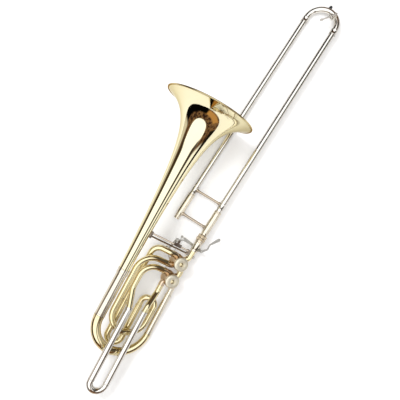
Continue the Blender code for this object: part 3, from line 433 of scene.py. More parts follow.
def bent(corners: Sequence[Point], radii: Sequence[float], step: float = 5.0) -> list[Vector]:
    """A centre line through corners, each rounded by its radius.

    Args:
        corners: the points that the line heads for.
        radii: the radius of each inner corner.
        step: degrees between the points of an arc.

    Returns:
        The line's points.
    """
    corners = [Vector(corner) for corner in corners]
    points = [corners[0]]
    for index, radius in enumerate(radii, 1):
        corner = corners[index]
        back = (corners[index - 1] - corner).normalized()
        ahead = (corners[index + 1] - corner).normalized()
        turn = math.pi - back.angle(ahead)
        centre = corner + (back + ahead).normalized() * (radius / math.cos(turn / 2))
        spoke = corner + back * (radius * math.tan(turn / 2)) - centre
        axis = spoke.cross(-back)
        count = max(1, round(math.degrees(turn) / step))
        points += [centre + Matrix.Rotation(turn * k / count, 3, axis) @ spoke for k in range(count + 1)]
    points.append(corners[-1])
    kept = points[:1]
    kept += [point for before, point in zip(points, points[1:]) if (point - before).length > 0.05]
    return kept


def run_lengths(points: Sequence[Vector]) -> list[float]:
    """Distance along the line at each of its points."""
    steps = [(Vector(after) - Vector(before)).length for before, after in zip(points, points[1:])]
    return [0.0, *np.cumsum(steps)]


def with_stations(points: Sequence[Point], stations: Iterable[float]) -> list[Vector]:
    """The line with a point added at each distance along it."""
    points = [Vector(point) for point in points]
    for station in stations:
        lengths = run_lengths(points)
        index = next((k for k, length in enumerate(lengths) if length > station), None)
        if index and min(abs(station - length) for length in lengths) > 0.02:
            share = (station - lengths[index - 1]) / (lengths[index] - lengths[index - 1])
            points.insert(index, points[index - 1].lerp(points[index], share))
    return points


def stretch(line: Sequence[Point], first: float, last: float) -> list[Vector]:
    """The part of a line between two distances along it."""
    points = with_stations(line, (first, last))
    return [point for point, length in zip(points, run_lengths(points)) if first - 0.01 <= length <= last + 0.01]


def tube(name: str, line: Sequence[Point], radii: Union[float, Knots], finish: Finish, wall: float = 0.0,
         sides: int = 40) -> bpy.types.Mesh:
    """A round tube along a line, open with a wall, or solid with closed ends.

    Args:
        name: the mesh's name.
        line: its centre line.
        radii: one outer radius, or pairs of distance and radius.
        finish: its finish.
        wall: its wall, or 0 for a solid rod.
        sides: how many sides its section has.

    Returns:
        The mesh.
    """
    knots = radii if isinstance(radii, list) else [(0.0, radii)]
    points = with_stations(line, [distance for distance, _ in knots])
    values = np.interp(run_lengths(points), *zip(*knots)).astype(float)
    sizes = {"Sides": sides, "Capped": not wall, "Material": material_of(finish)}
    return grown(name, seed_mesh(name, points, list(values)), "tube", sizes, wall)


def standing(base: Point, axis: Point) -> Matrix:
    """The transform that stands a shape made along z on base, along axis."""
    turn = Vector((0, 0, 1)).rotation_difference(Vector(axis)).to_matrix().to_4x4()
    return Matrix.Translation(Vector(base)) @ turn


def turned(name: str, section: Sequence[tuple[float, float]], finish: Finish, base: Point = (0, 0, 0),
           axis: Point = (0, 0, 1), segments: int = 72) -> bpy.types.Mesh:
    """A section of (radius, height) points, closed, turned round an axis that starts at base."""
    loop = [(radius, 0, height) for radius, height in (*section, section[0])]
    sizes = {"Segments": segments, "Material": material_of(finish)}
    mesh = grown(name, seed_mesh(name, loop), "lathe", sizes)
    mesh.transform(standing(base, axis))
    return mesh


def drum(name: str, radius: float, low: float, high: float, finish: Finish, base: Point = (0, 0, 0),
         axis: Point = (0, 0, 1), hole: float = 0.0) -> bpy.types.Mesh:
    """A plain cylinder between two heights, with a hole if one is given."""
    return turned(name, [(hole, low), (radius, low), (radius, high), (hole, high)], finish, base, axis)


def grip(name: str, count: int, radius: float, low: float, high: float, finish: Finish, base: Point = (0, 0, 0),
         axis: Point = (0, 0, 1), width: float = 0.9) -> bpy.types.Mesh:
    """Ridges that stand a little out of a rim of the given radius."""
    sizes = {"Count": count, "Radius": radius, "Width": width, "Low": low, "High": high,
             "Material": material_of(finish)}
    mesh = grown(name, bpy.data.meshes.new(name), "ridges", sizes)
    mesh.transform(standing(base, axis))
    return mesh


def strap(name: str, start: Point, end: Point, radii: tuple[float, float], low: float, high: float) -> bpy.types.Mesh:
    """A flat link with round ends, between two heights."""
    start, end = Vector(start), Vector(end)
    heading = math.atan2(end.y - start.y, end.x - start.x)
    steps = 20
    outline = []
    for centre, radius, first in ((end, radii[1], heading - math.pi / 2), (start, radii[0], heading + math.pi / 2)):
        angles = [first + math.pi * k / steps for k in range(steps + 1)]
        outline += [(centre.x + radius * math.cos(a), centre.y + radius * math.sin(a)) for a in angles]
    work = bmesh.new()
    floor = work.faces.new([work.verts.new((x, y, low)) for x, y in outline])
    grown_up = bmesh.ops.extrude_face_region(work, geom=[floor])
    top = [piece for piece in grown_up["geom"] if isinstance(piece, bmesh.types.BMVert)]
    bmesh.ops.translate(work, verts=top, vec=(0, 0, high - low))
    return from_work(name, work)


def from_work(name: str, work: bmesh.types.BMesh) -> bpy.types.Mesh:
    """The mesh of a finished closed bmesh, its faces turned outward."""
    bmesh.ops.remove_doubles(work, verts=work.verts, dist=1e-4)
    bmesh.ops.recalc_face_normals(work, faces=work.faces)
    mesh = bpy.data.meshes.new(name)
    work.to_mesh(mesh)
    work.free()
    return mesh


def together(meshes: Sequence[bpy.types.Mesh]) -> bpy.types.Mesh:
    """Several meshes as one."""
    work = bmesh.new()
    for mesh in meshes:
        work.from_mesh(mesh)
    made = bpy.data.meshes.new(meshes[0].name)
    work.to_mesh(made)
    work.free()
    return made


def combined(mesh: bpy.types.Mesh, how: Joining, *others: bpy.types.Mesh) -> bpy.types.Mesh:
    """A closed mesh with others joined to it or cut from it."""
    for other in others:
        first, second = (bpy.data.objects.new("shape", data) for data in (mesh, other))
        bpy.context.scene.collection.objects.link(first)
        bpy.context.scene.collection.objects.link(second)
        step = first.modifiers.new("Shape", "BOOLEAN")
        step.operation = how.value
        step.solver = "EXACT"
        step.object = second
        mesh = settled(first)
        bpy.data.objects.remove(second)
    return mesh


# Spaces


@dataclass(frozen=True)
class Space:
    """One of the two spaces that the pieces are laid out in."""

    place: tuple[float, float, float]
    turns: tuple[float, float, float]
    order: str

    def matrix(self) -> Matrix:
        """Its transform, in millimetres."""
        turn = Euler([math.radians(angle) for angle in self.turns], self.order).to_matrix().to_4x4()
        return Matrix.Translation(Vector(ROOT_PLACE) + Vector(self.place)) @ turn


ROOT_PLACE = (25.1385, 604.6006, -0.056)
SLIDE_SPACE = Space((1.0, 0.0, 9.5), (-0.049, -9.8, 0.0), "XYZ")
BELL_SPACE = Space((58.4, -445.9, 53.3), (4.255, 28.5, 4.4), "YXZ")


@dataclass
class Section:
    """A sub-assembly: what its pieces are laid out in, and what they have in common."""

    gap: float = 0.3
    tube_r: float = 7.7
    tube_wall: float = 0.7
    sleeve_r: float = 8.6
    leg_r: float = 7.2
    leg_wall: float = 0.8
    slide_spacing: float = 89.0
    space: Space = field(default=BELL_SPACE)

    def show(self, mesh: bpy.types.Mesh, finish: Finish, body: Body, *nodes: str, bevel: float = 0.0,
             part: str = "finished") -> None:
        """Puts a finished mesh into the scene as a piece.

        Args:
            mesh: the shape, in millimetres in this section's space.
            finish: its finish.
            body: the body that it rides on.
            *nodes: the model's nodes that it stands for. Its name is the first one's.
            bevel: width of the rounding on its sharp edges.
            part: the end of its name, where two pieces stand for one node.
        """
        if bevel:
            holder = bpy.data.objects.new("bevelled", mesh)
            bpy.context.scene.collection.objects.link(holder)
            round_off = holder.modifiers.new("Edges", "BEVEL")
            round_off.width = bevel
            round_off.segments = 2
            round_off.limit_method = "ANGLE"
            round_off.angle_limit = math.radians(35)
            round_off.harden_normals = False
            mesh = settled(holder)
        name = f"{nodes[0]}_{part}"
        mesh.name = name
        mesh.transform(Matrix.Scale(MM, 4) @ self.space.matrix())
        mesh.materials.clear()
        mesh.materials.append(material_of(finish))
        mesh.shade_smooth()
        mesh.set_sharp_from_angle(angle=SMOOTH_ANGLE)
        piece = bpy.data.objects.new(name, mesh)
        bpy.context.scene.collection.objects.link(piece)
        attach(piece, body.value)
        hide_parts(*nodes)
        LOG.info("%s: %d faces on %s", name, len(mesh.polygons), body.value)

    def into_sleeve(self, line: Sequence[Point], sleeve: float) -> Knots:
        """Radii of a tube that ends as a wider sleeve, with a beaded ferrule where the two join."""
        total = run_lengths(line)[-1]
        joint = total - sleeve
        ferrule = self.sleeve_r + 0.7
        return [(0.0, self.tube_r), (joint - 6.2, self.tube_r), (joint - 6.0, ferrule), (joint - 5.0, ferrule),
                (joint - 4.8, ferrule - 0.35), (joint - 0.8, ferrule - 0.35), (joint - 0.6, ferrule),
                (joint, ferrule), (joint + 0.3, self.sleeve_r), (total - 3.2, self.sleeve_r),
                (total - 3.0, self.sleeve_r + 0.3), (total - 0.3, self.sleeve_r + 0.3), (total, self.sleeve_r)]

    def neck_line(self) -> list[Vector]:
        """Centre line from the first valve to the end of the neck receiver, in the bell's space."""
        crossing = BELL_SPACE.matrix().inverted() @ SLIDE_SPACE.matrix()
        valve = Vector((VALVE_X, VALVE_Y[0], 0))
        port = valve + polar(NECK_PORT_REACH + 2 * self.gap, 45)
        end = crossing @ Vector((self.slide_spacing, NECK_RECEIVER_END - self.gap, 0))
        back = crossing.to_3x3() @ Vector((0, -1, 0))
        off = end - valve
        corner = end + back * ((off.y - off.x) / (back.x - back.y))
        return bent([port, corner, end], [PORT_BEND])


VALVE_X = -17.8
VALVE_Y = (-383.0, -432.0)
NECK_PORT_REACH = 20.0
NECK_RECEIVER_END = -784.0
PORT_BEND = 9.0
BELL_AXIS_X = -141.0
BELL_TAIL_Y = -455.0


@dataclass
class BellHorn(Section):
    """The bell: flare, wired rim and stem, with the brace that ties it to the neck."""

    rim_r: float = 120.65
    wall: float = 0.8
    bead_r: float = 2.2
    flare_start: float = 38.0
    flare_power: float = 0.88
    floor_r: float = 6.0
    floor_reach: float = 100.0
    brace_y: tuple[float, float] = (-345.0, -352.5)
    brace_rod_r: float = 2.2

    def flare_radius(self, behind: float) -> float:
        """Outer radius at a distance behind the rim."""
        horn = self.rim_r * (self.flare_start / (behind + self.flare_start)) ** self.flare_power
        return math.hypot(horn, self.floor_r * min(1.0, behind / self.floor_reach))

    def build(self) -> None:
        """Makes and dresses the pieces."""
        sizes = {"Rim Radius": self.rim_r, "Flare Start": self.flare_start, "Flare Power": self.flare_power,
                 "Floor Radius": self.floor_r, "Floor Reach": self.floor_reach, "Length": -BELL_TAIL_Y,
                 "Crowding": 1.8, "Stations": 96, "Segments": 144, "Material": material_of(LACQUERED_BRASS)}
        horn = grown("bell", bpy.data.meshes.new("bell"), "horn", sizes, self.wall)
        horn.transform(standing((BELL_AXIS_X, 0, 0), (0, 1, 0)))
        centre = self.rim_r - self.bead_r
        wire = [(centre + self.bead_r * math.sin(math.radians(a)), -self.bead_r * math.cos(math.radians(a)))
                for a in range(0, 360, 20)]
        bead = turned("bead", wire, LACQUERED_BRASS, (BELL_AXIS_X, 0, 0), (0, 1, 0), 144)
        self.show(horn, BELL_BRASS, Body.FIXED, "bell")
        self.show(bead, RIM_BRASS_PAINTED_SHADE, Body.FIXED, "bell", part="rim_wire")
        self.build_brace()

    def build_brace(self) -> None:
        """The double rod between stem and neck, with a turned foot at each end of its rods."""
        middle = sum(self.brace_y) / 2
        stem_x = BELL_AXIS_X + self.flare_radius(-middle)
        foot_x = -10.0
        rods = [tube("rod", [(stem_x, y, 0), (foot_x + 2, y, 0)], self.brace_rod_r, NICKEL_SILVER, sides=28)
                for y in self.brace_y]
        rings = [turned("ring", [(0, 0), (3.4, 0), (3.6, 1.0), (2.9, 1.9), (0, 1.9)], NICKEL_SILVER, (x, y, 0),
                        (side, 0, 0), 32)
                 for y in self.brace_y for x, side in ((stem_x + 4.4, 1), (foot_x + 0.4, -1))]
        stem_foot = self.foot((5.0, 18.0, 15.0), (stem_x + 2.2, middle, 0))
        neck_foot = self.foot((7.0, 14.6, 10.0), (foot_x + 3.5, middle, -0.6))
        brace = combined(stem_foot, Joining.ADD, neck_foot, *rods, *rings)
        stem = [(0, -370.0), *((self.flare_radius(-y) + self.gap, y) for y in (-370.0, -345.0, -320.0)), (0, -320.0)]
        around_stem = turned("stem", stem, NICKEL_SILVER, (BELL_AXIS_X, 0, 0), (0, 1, 0), 64)
        around_neck = tube("neck", self.neck_line(), self.tube_r + 1.5 * self.gap, NICKEL_SILVER)
        brace = combined(brace, Joining.CUT, around_stem, around_neck)
        self.show(brace, BRACE_SILVER_PAINTED_SHADE, Body.FIXED, "bell_brace", bevel=0.3)

    def foot(self, size: Point, centre: Point) -> bpy.types.Mesh:
        """The plain block that a brace foot is cut from."""
        work = bmesh.new()
        bmesh.ops.create_cube(work, size=1.0)
        work.transform(Matrix.Translation(Vector(centre)) @ Matrix.Diagonal((*size, 1.0)))
        return from_work("foot", work)


@dataclass
class Valves(Section):
    """The two rotary valves, the neck that feeds them and the link between them."""

    port_offset: float = 14.2
    casing_r: float = 19.0
    bore_r: float = 15.9
    port_r: float = 8.2
    port_bore_r: float = 6.9
    casing_top: float = 20.0
    casing_bottom: float = -20.0
    casing_floor: float = -16.0
    spindle_r: float = 4.0
    cap_r: float = 18.3
    recess_r: float = 8.2
    boss_r: float = 4.4
    loop_reach: float = 24.0

    def build(self) -> None:
        """Makes and dresses the pieces."""
        line = self.neck_line()
        self.show(tube("gooseneck", line, self.tube_r, LACQUERED_BRASS, self.tube_wall), LACQUERED_BRASS,
                  Body.FIXED, "gooseneck")
        first, second = (Vector((VALVE_X, y, 0)) for y in VALVE_Y)
        reach = NECK_PORT_REACH + self.gap
        corners = [first + polar(reach, -45), Vector((0, first.y + VALVE_X, 0)), Vector((0, second.y - VALVE_X, 0)),
                   second + polar(reach, 45)]
        self.show(tube("link", bent(corners, [PORT_BEND, PORT_BEND]), self.tube_r, LACQUERED_BRASS, self.tube_wall),
                  LACQUERED_BRASS, Body.FIXED, "valve_link_tube")
        for number, centre in ((1, first), (2, second)):
            self.build_casing(number, centre)
            self.build_cap(number, centre)

    def port_line(self, angle: float, heading: Optional[Vector], start: float, extra: float) -> list[Vector]:
        """Centre line of one port. A loop's port turns to its heading."""
        if heading is None:
            return [polar(start, angle), polar(NECK_PORT_REACH + extra, angle)]
        corner = polar(self.port_offset * math.sqrt(2), angle)
        mouth = corner + heading * (self.loop_reach - self.port_offset + extra)
        return bent([polar(start, angle), corner, mouth], [PORT_BEND])

    def build_casing(self, number: int, centre: Vector) -> None:
        """One casing with banded ends, its four ports and the hole for the spindle."""
        west, south = Vector((-1, 0, 0)), Vector((0, -1, 0))
        ports = ((45, None), (-45, None), (135, west), (225, west if number == 1 else south))
        r, low, high = self.casing_r, self.casing_bottom, self.casing_top
        section = [(0, low), (r - 0.6, low), (r, low + 0.6), (r, low + 3.0), (r - 0.5, low + 3.4),
                   (r - 0.5, high - 3.4), (r, high - 3.0), (r, high - 0.5), (r - 0.5, high), (0, high)]
        shell = turned("casing", section, LACQUERED_BRASS, centre, segments=96)
        for angle, heading in ports:
            line = [centre + point for point in self.port_line(angle, heading, 8.0, 0.0)]
            total = run_lengths(line)[-1]
            radii = [(0.0, self.port_r - 0.3), (total - 4.0, self.port_r - 0.3), (total - 3.7, self.port_r),
                     (total, self.port_r)]
            shell = combined(shell, Joining.ADD, tube("port", line, radii, LACQUERED_BRASS))
        chamber = drum("chamber", self.bore_r, self.casing_floor, high + 5, LACQUERED_BRASS, centre)
        hole = drum("hole", self.spindle_r + 0.4, low - 5, 0, LACQUERED_BRASS, centre)
        shell = combined(shell, Joining.CUT, chamber, hole)
        for angle, heading in ports:
            line = [centre + point for point in self.port_line(angle, heading, 9.0, 3.0)]
            shell = combined(shell, Joining.CUT, tube("bore", line, self.port_bore_r, LACQUERED_BRASS, sides=32))
        self.show(shell, ROSE_BRASS, Body.FIXED, f"valve_casing_{number}")

    def build_cap(self, number: int, centre: Vector) -> None:
        """The screwed cap, with its ribbed rim and its dished middle."""
        face = self.casing_top + self.gap
        cap, recess = self.cap_r, self.recess_r
        section = [(0, face), (cap, face), (cap + 0.3, face + 0.4), (cap + 0.3, face + 3.4), (cap - 0.2, face + 4.2),
                   (cap - 1.2, face + 5.1), (cap - 4.0, face + 5.7), (recess + 1.0, face + 6.3),
                   (recess + 0.3, face + 6.0), (recess, face + 4.4), (0, face + 3.4)]
        ridges = grip("ridges", 72, cap - 0.1, face + 0.8, face + 3.1, SATIN_BRASS, centre)
        self.show(together([turned("cap", section, SATIN_BRASS, centre, segments=96), ridges]), SATIN_BRASS,
                  Body.FIXED, f"valve_cap_{number}")
        boss = self.boss_r
        section = [(0, face + 3.3), (boss + 1.8, face + 3.6), (boss + 1.2, face + 4.1), (boss, face + 4.2)]
        section += [(boss * math.cos(math.radians(a)), face + 4.2 + 2.0 * math.sin(math.radians(a)))
                    for a in range(15, 91, 15)]
        self.show(turned("boss", section, LACQUERED_BRASS, centre, segments=64), LACQUERED_BRASS, Body.FIXED,
                  f"valve_cap_{number}", part="boss")


@dataclass
class TuningSlides(Section):
    """The main tuning slide and the loops of both valves with their slides."""

    bow_y: float = -585.0
    bow_lead: float = 3.0
    neck_leg: float = 100.0
    bell_leg: float = 110.0
    bell_leg_r: float = 12.2
    bell_sleeve_r: float = 13.5
    port_offset: float = 14.2
    loop_reach: float = 24.0
    f_slide_x: tuple[float, float] = (-91.7, -50.8)
    f_loop_x: tuple[float, float] = (-115.7, -19.7)
    f_loop_bend: float = 46.0
    f_loop_arc_y: float = -556.0
    f_depth: float = -22.0
    f_join_y: float = -596.0
    f_arc_y: float = -625.0
    f_arch_y: float = -501.5
    f_arch_join_y: float = -524.0
    f_sleeve: float = 60.0
    g_legs_x: tuple[float, float] = (-88.2, -46.9)
    g_height: float = 22.5
    g_crook_x: float = -97.0
    g_crook_bend: float = 38.0
    g_join_y: float = -734.0
    g_arc_y: float = -738.75
    g_sleeve_top_y: tuple[float, float] = (-541.0, -536.0)
    g_leg: float = 150.0

    def build(self) -> None:
        """Makes and dresses the pieces."""
        self.build_main()
        self.build_first_loop()
        self.build_second_loop()

    def pipe(self, node: str, line: Sequence[Point], radii: Union[float, Knots], finish: Finish) -> None:
        """A fixed tube of the ordinary wall."""
        self.show(tube(node, line, radii, finish, self.tube_wall), finish, Body.FIXED, node)

    def crook_and_sleeve(self, node: str, line: Sequence[Point], sleeve: float) -> None:
        """A brass crook that ends in a silver sleeve, as two pieces that stand for one node."""
        radii = self.into_sleeve(line, sleeve)
        start = radii[1][0]
        crook = tube(node, stretch(line, 0.0, start + 3.0), self.tube_r, LACQUERED_BRASS, self.tube_wall)
        self.show(crook, LACQUERED_BRASS, Body.FIXED, node)
        radii = [(0.0, self.tube_r + 0.1), *((distance - start, radius) for distance, radius in radii[2:])]
        total = run_lengths(line)[-1]
        outer = tube(node, stretch(line, start, total), radii, NICKEL_SILVER, self.tube_wall)
        self.show(outer, NICKEL_SILVER, Body.FIXED, node, part="sleeve")

    def half_circle(self, radius: float, start: Point) -> list[Vector]:
        """Points of a half circle that heads down y and comes back up on the left."""
        return [Vector(start) + polar(radius, -4.5 * k) - Vector((radius, 0, 0)) for k in range(41)]

    def build_main(self) -> None:
        """The two outer sleeves, and the wide bow whose legs slide in them."""
        second = Vector((VALVE_X, VALVE_Y[1], 0))
        corner = Vector((0, second.y + VALVE_X, 0))
        mouth = self.bow_y + self.gap
        line = bent([second + polar(NECK_PORT_REACH + self.gap, -45), corner, (0, mouth, 0)], [PORT_BEND])
        self.pipe("tuning_sleeve_neck", line, self.into_sleeve(line, self.neck_leg + 8.0), WARM_SILVER)
        tail = BELL_TAIL_Y - self.gap
        bore_r = self.bell_leg_r + 0.4
        sleeve_r = self.bell_sleeve_r
        section = [(bore_r, mouth), (sleeve_r, mouth), (sleeve_r + 0.4, mouth + 0.4), (sleeve_r + 0.4, mouth + 4.0),
                   (sleeve_r, mouth + 4.4), (sleeve_r, tail - 14), (sleeve_r + 1.6, tail - 13.6),
                   (sleeve_r + 1.6, tail - 11.5), (sleeve_r + 1.1, tail - 11.1), (sleeve_r + 1.1, tail - 2.8),
                   (sleeve_r + 1.6, tail - 2.4), (sleeve_r + 1.6, tail - 0.3), (sleeve_r + 1.2, tail), (bore_r, tail)]
        sleeve = turned("sleeve", section, WARM_SILVER, (BELL_AXIS_X, 0, 0), (0, 1, 0))
        self.show(sleeve, WARM_SILVER, Body.FIXED, "tuning_sleeve_bell")

        arc = self.half_circle(-BELL_AXIS_X / 2, (0, self.bow_y - self.bow_lead, 0))
        line = [(0, self.bow_y + self.neck_leg, 0), (0, self.bow_y, 0), *arc, (BELL_AXIS_X, self.bow_y, 0),
                (BELL_AXIS_X, self.bow_y + self.bell_leg, 0)]
        far = run_lengths(line)[-1] - self.bell_leg
        slim, wide = self.sleeve_r + 0.4, sleeve_r + 0.3
        radii = [(0.0, self.leg_r), (self.neck_leg, self.leg_r), (self.neck_leg + 0.2, slim),
                 (self.neck_leg + 3.0, slim), (self.neck_leg + 3.3, slim - 0.3), (far - 4.3, wide - 0.4),
                 (far - 4.0, wide), (far - 0.2, wide), (far, self.bell_leg_r), (far + self.bell_leg, self.bell_leg_r)]
        bow = tube("bow", line, radii, LACQUERED_BRASS, self.leg_wall, 48)
        self.show(bow, LACQUERED_BRASS, Body.MAIN_SLIDE, "main_tuning_slide")

    def bow_with_legs(self, legs_x: tuple[float, float], join_y: float, arc_y: float, depth: float,
                      leg: float, finish: Finish) -> bpy.types.Mesh:
        """A half-round bow with its collars and its two inner legs."""
        left, right = legs_x
        arc = self.half_circle((right - left) / 2, (right, arc_y, depth))
        line = [(right, join_y + leg, depth), (right, join_y, depth), *arc, (left, join_y, depth),
                (left, join_y + leg, depth)]
        far = run_lengths(line)[-1] - leg
        wide = self.sleeve_r
        radii = [(0.0, self.leg_r), (leg, self.leg_r), (leg + 0.2, wide), (leg + 3.0, wide), (leg + 3.3, wide - 0.5),
                 (far - 3.3, wide - 0.5), (far - 3.0, wide), (far - 0.2, wide), (far, self.leg_r),
                 (far + leg, self.leg_r)]
        return tube("bow", line, radii, finish, self.leg_wall)

    def build_first_loop(self) -> None:
        """The first valve's loop: a crook down to its slide, an arch, and the wide return loop."""
        top_y = VALVE_Y[0] + self.port_offset
        start_x = VALVE_X - self.loop_reach - self.gap
        left, right = self.f_slide_x
        depth, mouth = self.f_depth, self.f_join_y + self.gap
        line = bent([(start_x, top_y, 0), (start_x - 8, top_y, 0), (left - 3, top_y, depth / 2),
                     (left, top_y - 59, depth), (left, mouth, depth)], [24.0, 23.0, 24.0])
        self.pipe("f_crook", line, self.into_sleeve(line, self.f_sleeve), LACQUERED_BRASS)
        wide_left, wide_right = self.f_loop_x
        line = bent([(wide_right, self.f_arch_join_y, 0), (wide_right, self.f_arch_y, 0),
                     (right, self.f_arch_y, depth), (right, mouth, depth)], [16.0, 16.0])
        self.pipe("f_arch", line, self.into_sleeve(line, self.f_sleeve), LACQUERED_BRASS)
        low_y = VALVE_Y[0] - self.port_offset
        radius = (wide_right - wide_left) / 2
        bottom = self.f_loop_arc_y - radius
        line = bent([(start_x, low_y, 0), (wide_left, low_y, 0), (wide_left, bottom, 0), (wide_right, bottom, 0),
                     (wide_right, self.f_arch_join_y - self.gap, 0)], [self.f_loop_bend, radius, radius])
        end = run_lengths(line)[-1]
        band = self.tube_r + 0.8
        radii = [(0.0, self.tube_r), (end - 7.2, self.tube_r), (end - 7.0, band), (end - 5.8, band),
                 (end - 5.6, band - 0.35), (end - 1.6, band - 0.35), (end - 1.4, band), (end, band)]
        self.pipe("f_loop", line, radii, LACQUERED_BRASS)
        bow = self.bow_with_legs(self.f_slide_x, self.f_join_y, self.f_arc_y, depth, self.f_sleeve, LACQUERED_BRASS)
        self.show(bow, LACQUERED_BRASS, Body.FIRST_SLIDE, "f_tuning_slide")

    def build_second_loop(self) -> None:
        """The second valve's loop: a crook and a return that step up over the first loop, and the long slide."""
        left, right = self.g_legs_x
        top_y = VALVE_Y[1] + self.port_offset
        start_x = VALVE_X - self.loop_reach - self.gap
        mouth = self.g_join_y + self.gap
        line = bent([(start_x, top_y, 0), (self.g_crook_x, top_y, 0), (self.g_crook_x, -490, 0),
                     (left, -538, self.g_height), (left, mouth, self.g_height)], [self.g_crook_bend, 30.0, 30.0])
        self.crook_and_sleeve("g_crook", line, self.g_sleeve_top_y[0] - self.g_join_y)
        return_x = VALVE_X - self.port_offset
        start_y = VALVE_Y[1] - self.loop_reach - self.gap
        line = bent([(return_x, start_y, 0), (return_x, -476, 0), (right, -516, self.g_height),
                     (right, mouth, self.g_height)], [25.0, 25.0])
        self.crook_and_sleeve("g_return", line, self.g_sleeve_top_y[1] - self.g_join_y)
        bow = self.bow_with_legs(self.g_legs_x, self.g_join_y, self.g_arc_y, self.g_height, self.g_leg, NICKEL_SILVER)
        self.show(bow, NICKEL_SILVER, Body.SECOND_SLIDE, "g_tuning_slide")


@dataclass
class HandSlide(Section):
    """The hand slide: the fixed inner half and the sliding outer half."""

    space: Space = field(default=SLIDE_SPACE)
    outer_r: float = 8.0
    outer_wall: float = 0.35
    collar_r: float = 8.8
    inner_r: float = 7.1
    inner_wall: float = 0.4
    crook_r: float = 8.3
    crook_end_y: float = -53.5
    crook_lead: float = 8.0
    bumper_length: float = 8.6
    mouth_y: float = -668.0
    outer_brace_y: float = -640.0
    hand_brace_y: float = -714.0
    barrel_r: float = 9.5
    upper_barrel_y: tuple[float, float] = (-655.0, -722.0)
    lower_barrel_y: tuple[float, float] = (-660.0, -733.8)
    receiver_end_y: float = -734.0
    lock_ring_y: tuple[float, float] = (-734.3, -742.3)
    nut_y: tuple[float, float] = (-742.7, -751.5)
    neck_receiver_y: tuple[float, float] = (-751.9, -784.0)
    tenon_r: float = 7.4

    def build(self) -> None:
        """Makes and dresses the pieces."""
        self.build_inner()
        self.build_rings()
        self.build_outer()

    def brace(self, y: float, seat_r: float, rod_r: float, foot_r: float) -> bpy.types.Mesh:
        """A bar across the slide whose ends flare into feet that hug the two tubes."""
        low, high = seat_r - 3.0, self.slide_spacing - seat_r + 3.0
        half = [(foot_r, low), (foot_r, low + 4.2), (foot_r - 0.5, low + 4.9), (rod_r + 0.9, low + 5.8),
                (rod_r + 0.9, low + 6.6), (rod_r, low + 7.2), (rod_r - 0.3, low + 11.0)]
        mirrored = [(radius, low + high - x) for radius, x in reversed(half)]
        bar = turned("brace", [(0, low), *half, *mirrored, (0, high)], NICKEL_SILVER, (0, y, 0), (1, 0, 0), 48)
        seats = [drum("seat", seat_r + self.gap, -30, 30, NICKEL_SILVER, (x, y, 0), (0, 1, 0))
                 for x in (0.0, self.slide_spacing)]
        return combined(bar, Joining.CUT, *seats)

    def build_inner(self) -> None:
        """The inner tubes, the barrels, the hand brace and the mouthpiece receiver."""
        way = self.outer_r + 0.4
        for x, side, (top, bottom) in ((0.0, "upper", self.upper_barrel_y),
                                       (self.slide_spacing, "lower", self.lower_barrel_y)):
            line = straight(x, self.crook_end_y - self.crook_lead - 1, bottom + 3)
            self.show(tube("inner", line, self.inner_r, NICKEL_SILVER, self.inner_wall), NICKEL_SILVER, Body.FIXED,
                      f"inner_tube_{side}")
            depth = top - bottom
            r = self.barrel_r
            section = [(way, 0), (r + 0.2, 0), (r + 0.5, 0.5), (r + 0.5, 2.4), (r + 0.1, 2.9), (r + 0.1, 4.1),
                       (r + 0.5, 4.6), (r + 0.5, 5.8), (r, 6.4), (r, depth - 8), (r - 0.2, depth - 6),
                       (r - 1.1, depth - 1), (r - 1.4, depth), (self.inner_r + 0.4, depth),
                       (self.inner_r + 0.4, depth - 30), (way, depth - 30)]
            barrel = turned("barrel", section, WARM_SILVER, (x, top, 0), (0, -1, 0))
            self.show(barrel, WARM_SILVER, Body.FIXED, f"cork_barrel_{side}")
        start = self.upper_barrel_y[1] - self.gap
        length = start - self.receiver_end_y
        section = [(6.0, 0), (8.0, 0), (8.2, 0.4), (8.2, 1.6), (7.8, 3.6), (7.3, 4.6), (7.2, 5.2),
                   (7.2, length - 3.6), (7.9, length - 3.0), (7.9, length - 0.4), (7.6, length), (6.4, length)]
        self.show(turned("receiver", section, WARM_SILVER, (0, start, 0), (0, -1, 0)), WARM_SILVER, Body.FIXED,
                  "mouthpiece_receiver")
        self.show(self.brace(self.hand_brace_y, self.barrel_r, 3.8, 5.2), BRACE_SILVER_PAINTED_SHADE, Body.FIXED, "hand_brace")

    def build_rings(self) -> None:
        """The neck receiver, and the lock ring and the nut with their cut grips."""
        start, end = self.neck_receiver_y
        length = start - end
        bore = self.tenon_r + 0.4
        section = [(bore, 0), (11.0, 0), (11.0, 1.4), (10.5, 1.8), (10.5, 2.6), (11.0, 3.0), (11.0, 4.2),
                   (10.1, 5.2), (10.0, length - 6), (10.3, length - 5.6), (10.3, length - 4.2), (9.9, length - 3.6),
                   (9.2, length), (bore, length)]
        self.show(turned("neck_receiver", section, WARM_SILVER, (self.slide_spacing, start, 0), (0, -1, 0)),
                  WARM_SILVER, Body.FIXED, "neck_receiver")
        hole = self.tenon_r + 0.45
        for node, body, (start, end), radius in (("slide_lock_ring", Body.LOCK_RING, self.lock_ring_y, 12.0),
                                                 ("slide_nut", Body.NUT, self.nut_y, 12.6)):
            length = start - end
            section = [(hole, 0), (radius - 1, 0), (radius - 0.4, 0.8), (radius - 0.4, length - 0.8),
                       (radius - 1, length), (hole, length)]
            base = (self.slide_spacing, start, 0)
            ring = turned(node, section, GRIP_SILVER, base, (0, -1, 0))
            ridges = grip("ridges", 56, radius - 0.65, 1.6, length - 1.6, GRIP_SILVER, base, (0, -1, 0), 0.8)
            self.show(together([ring, ridges]), GRIP_SILVER, body, node)

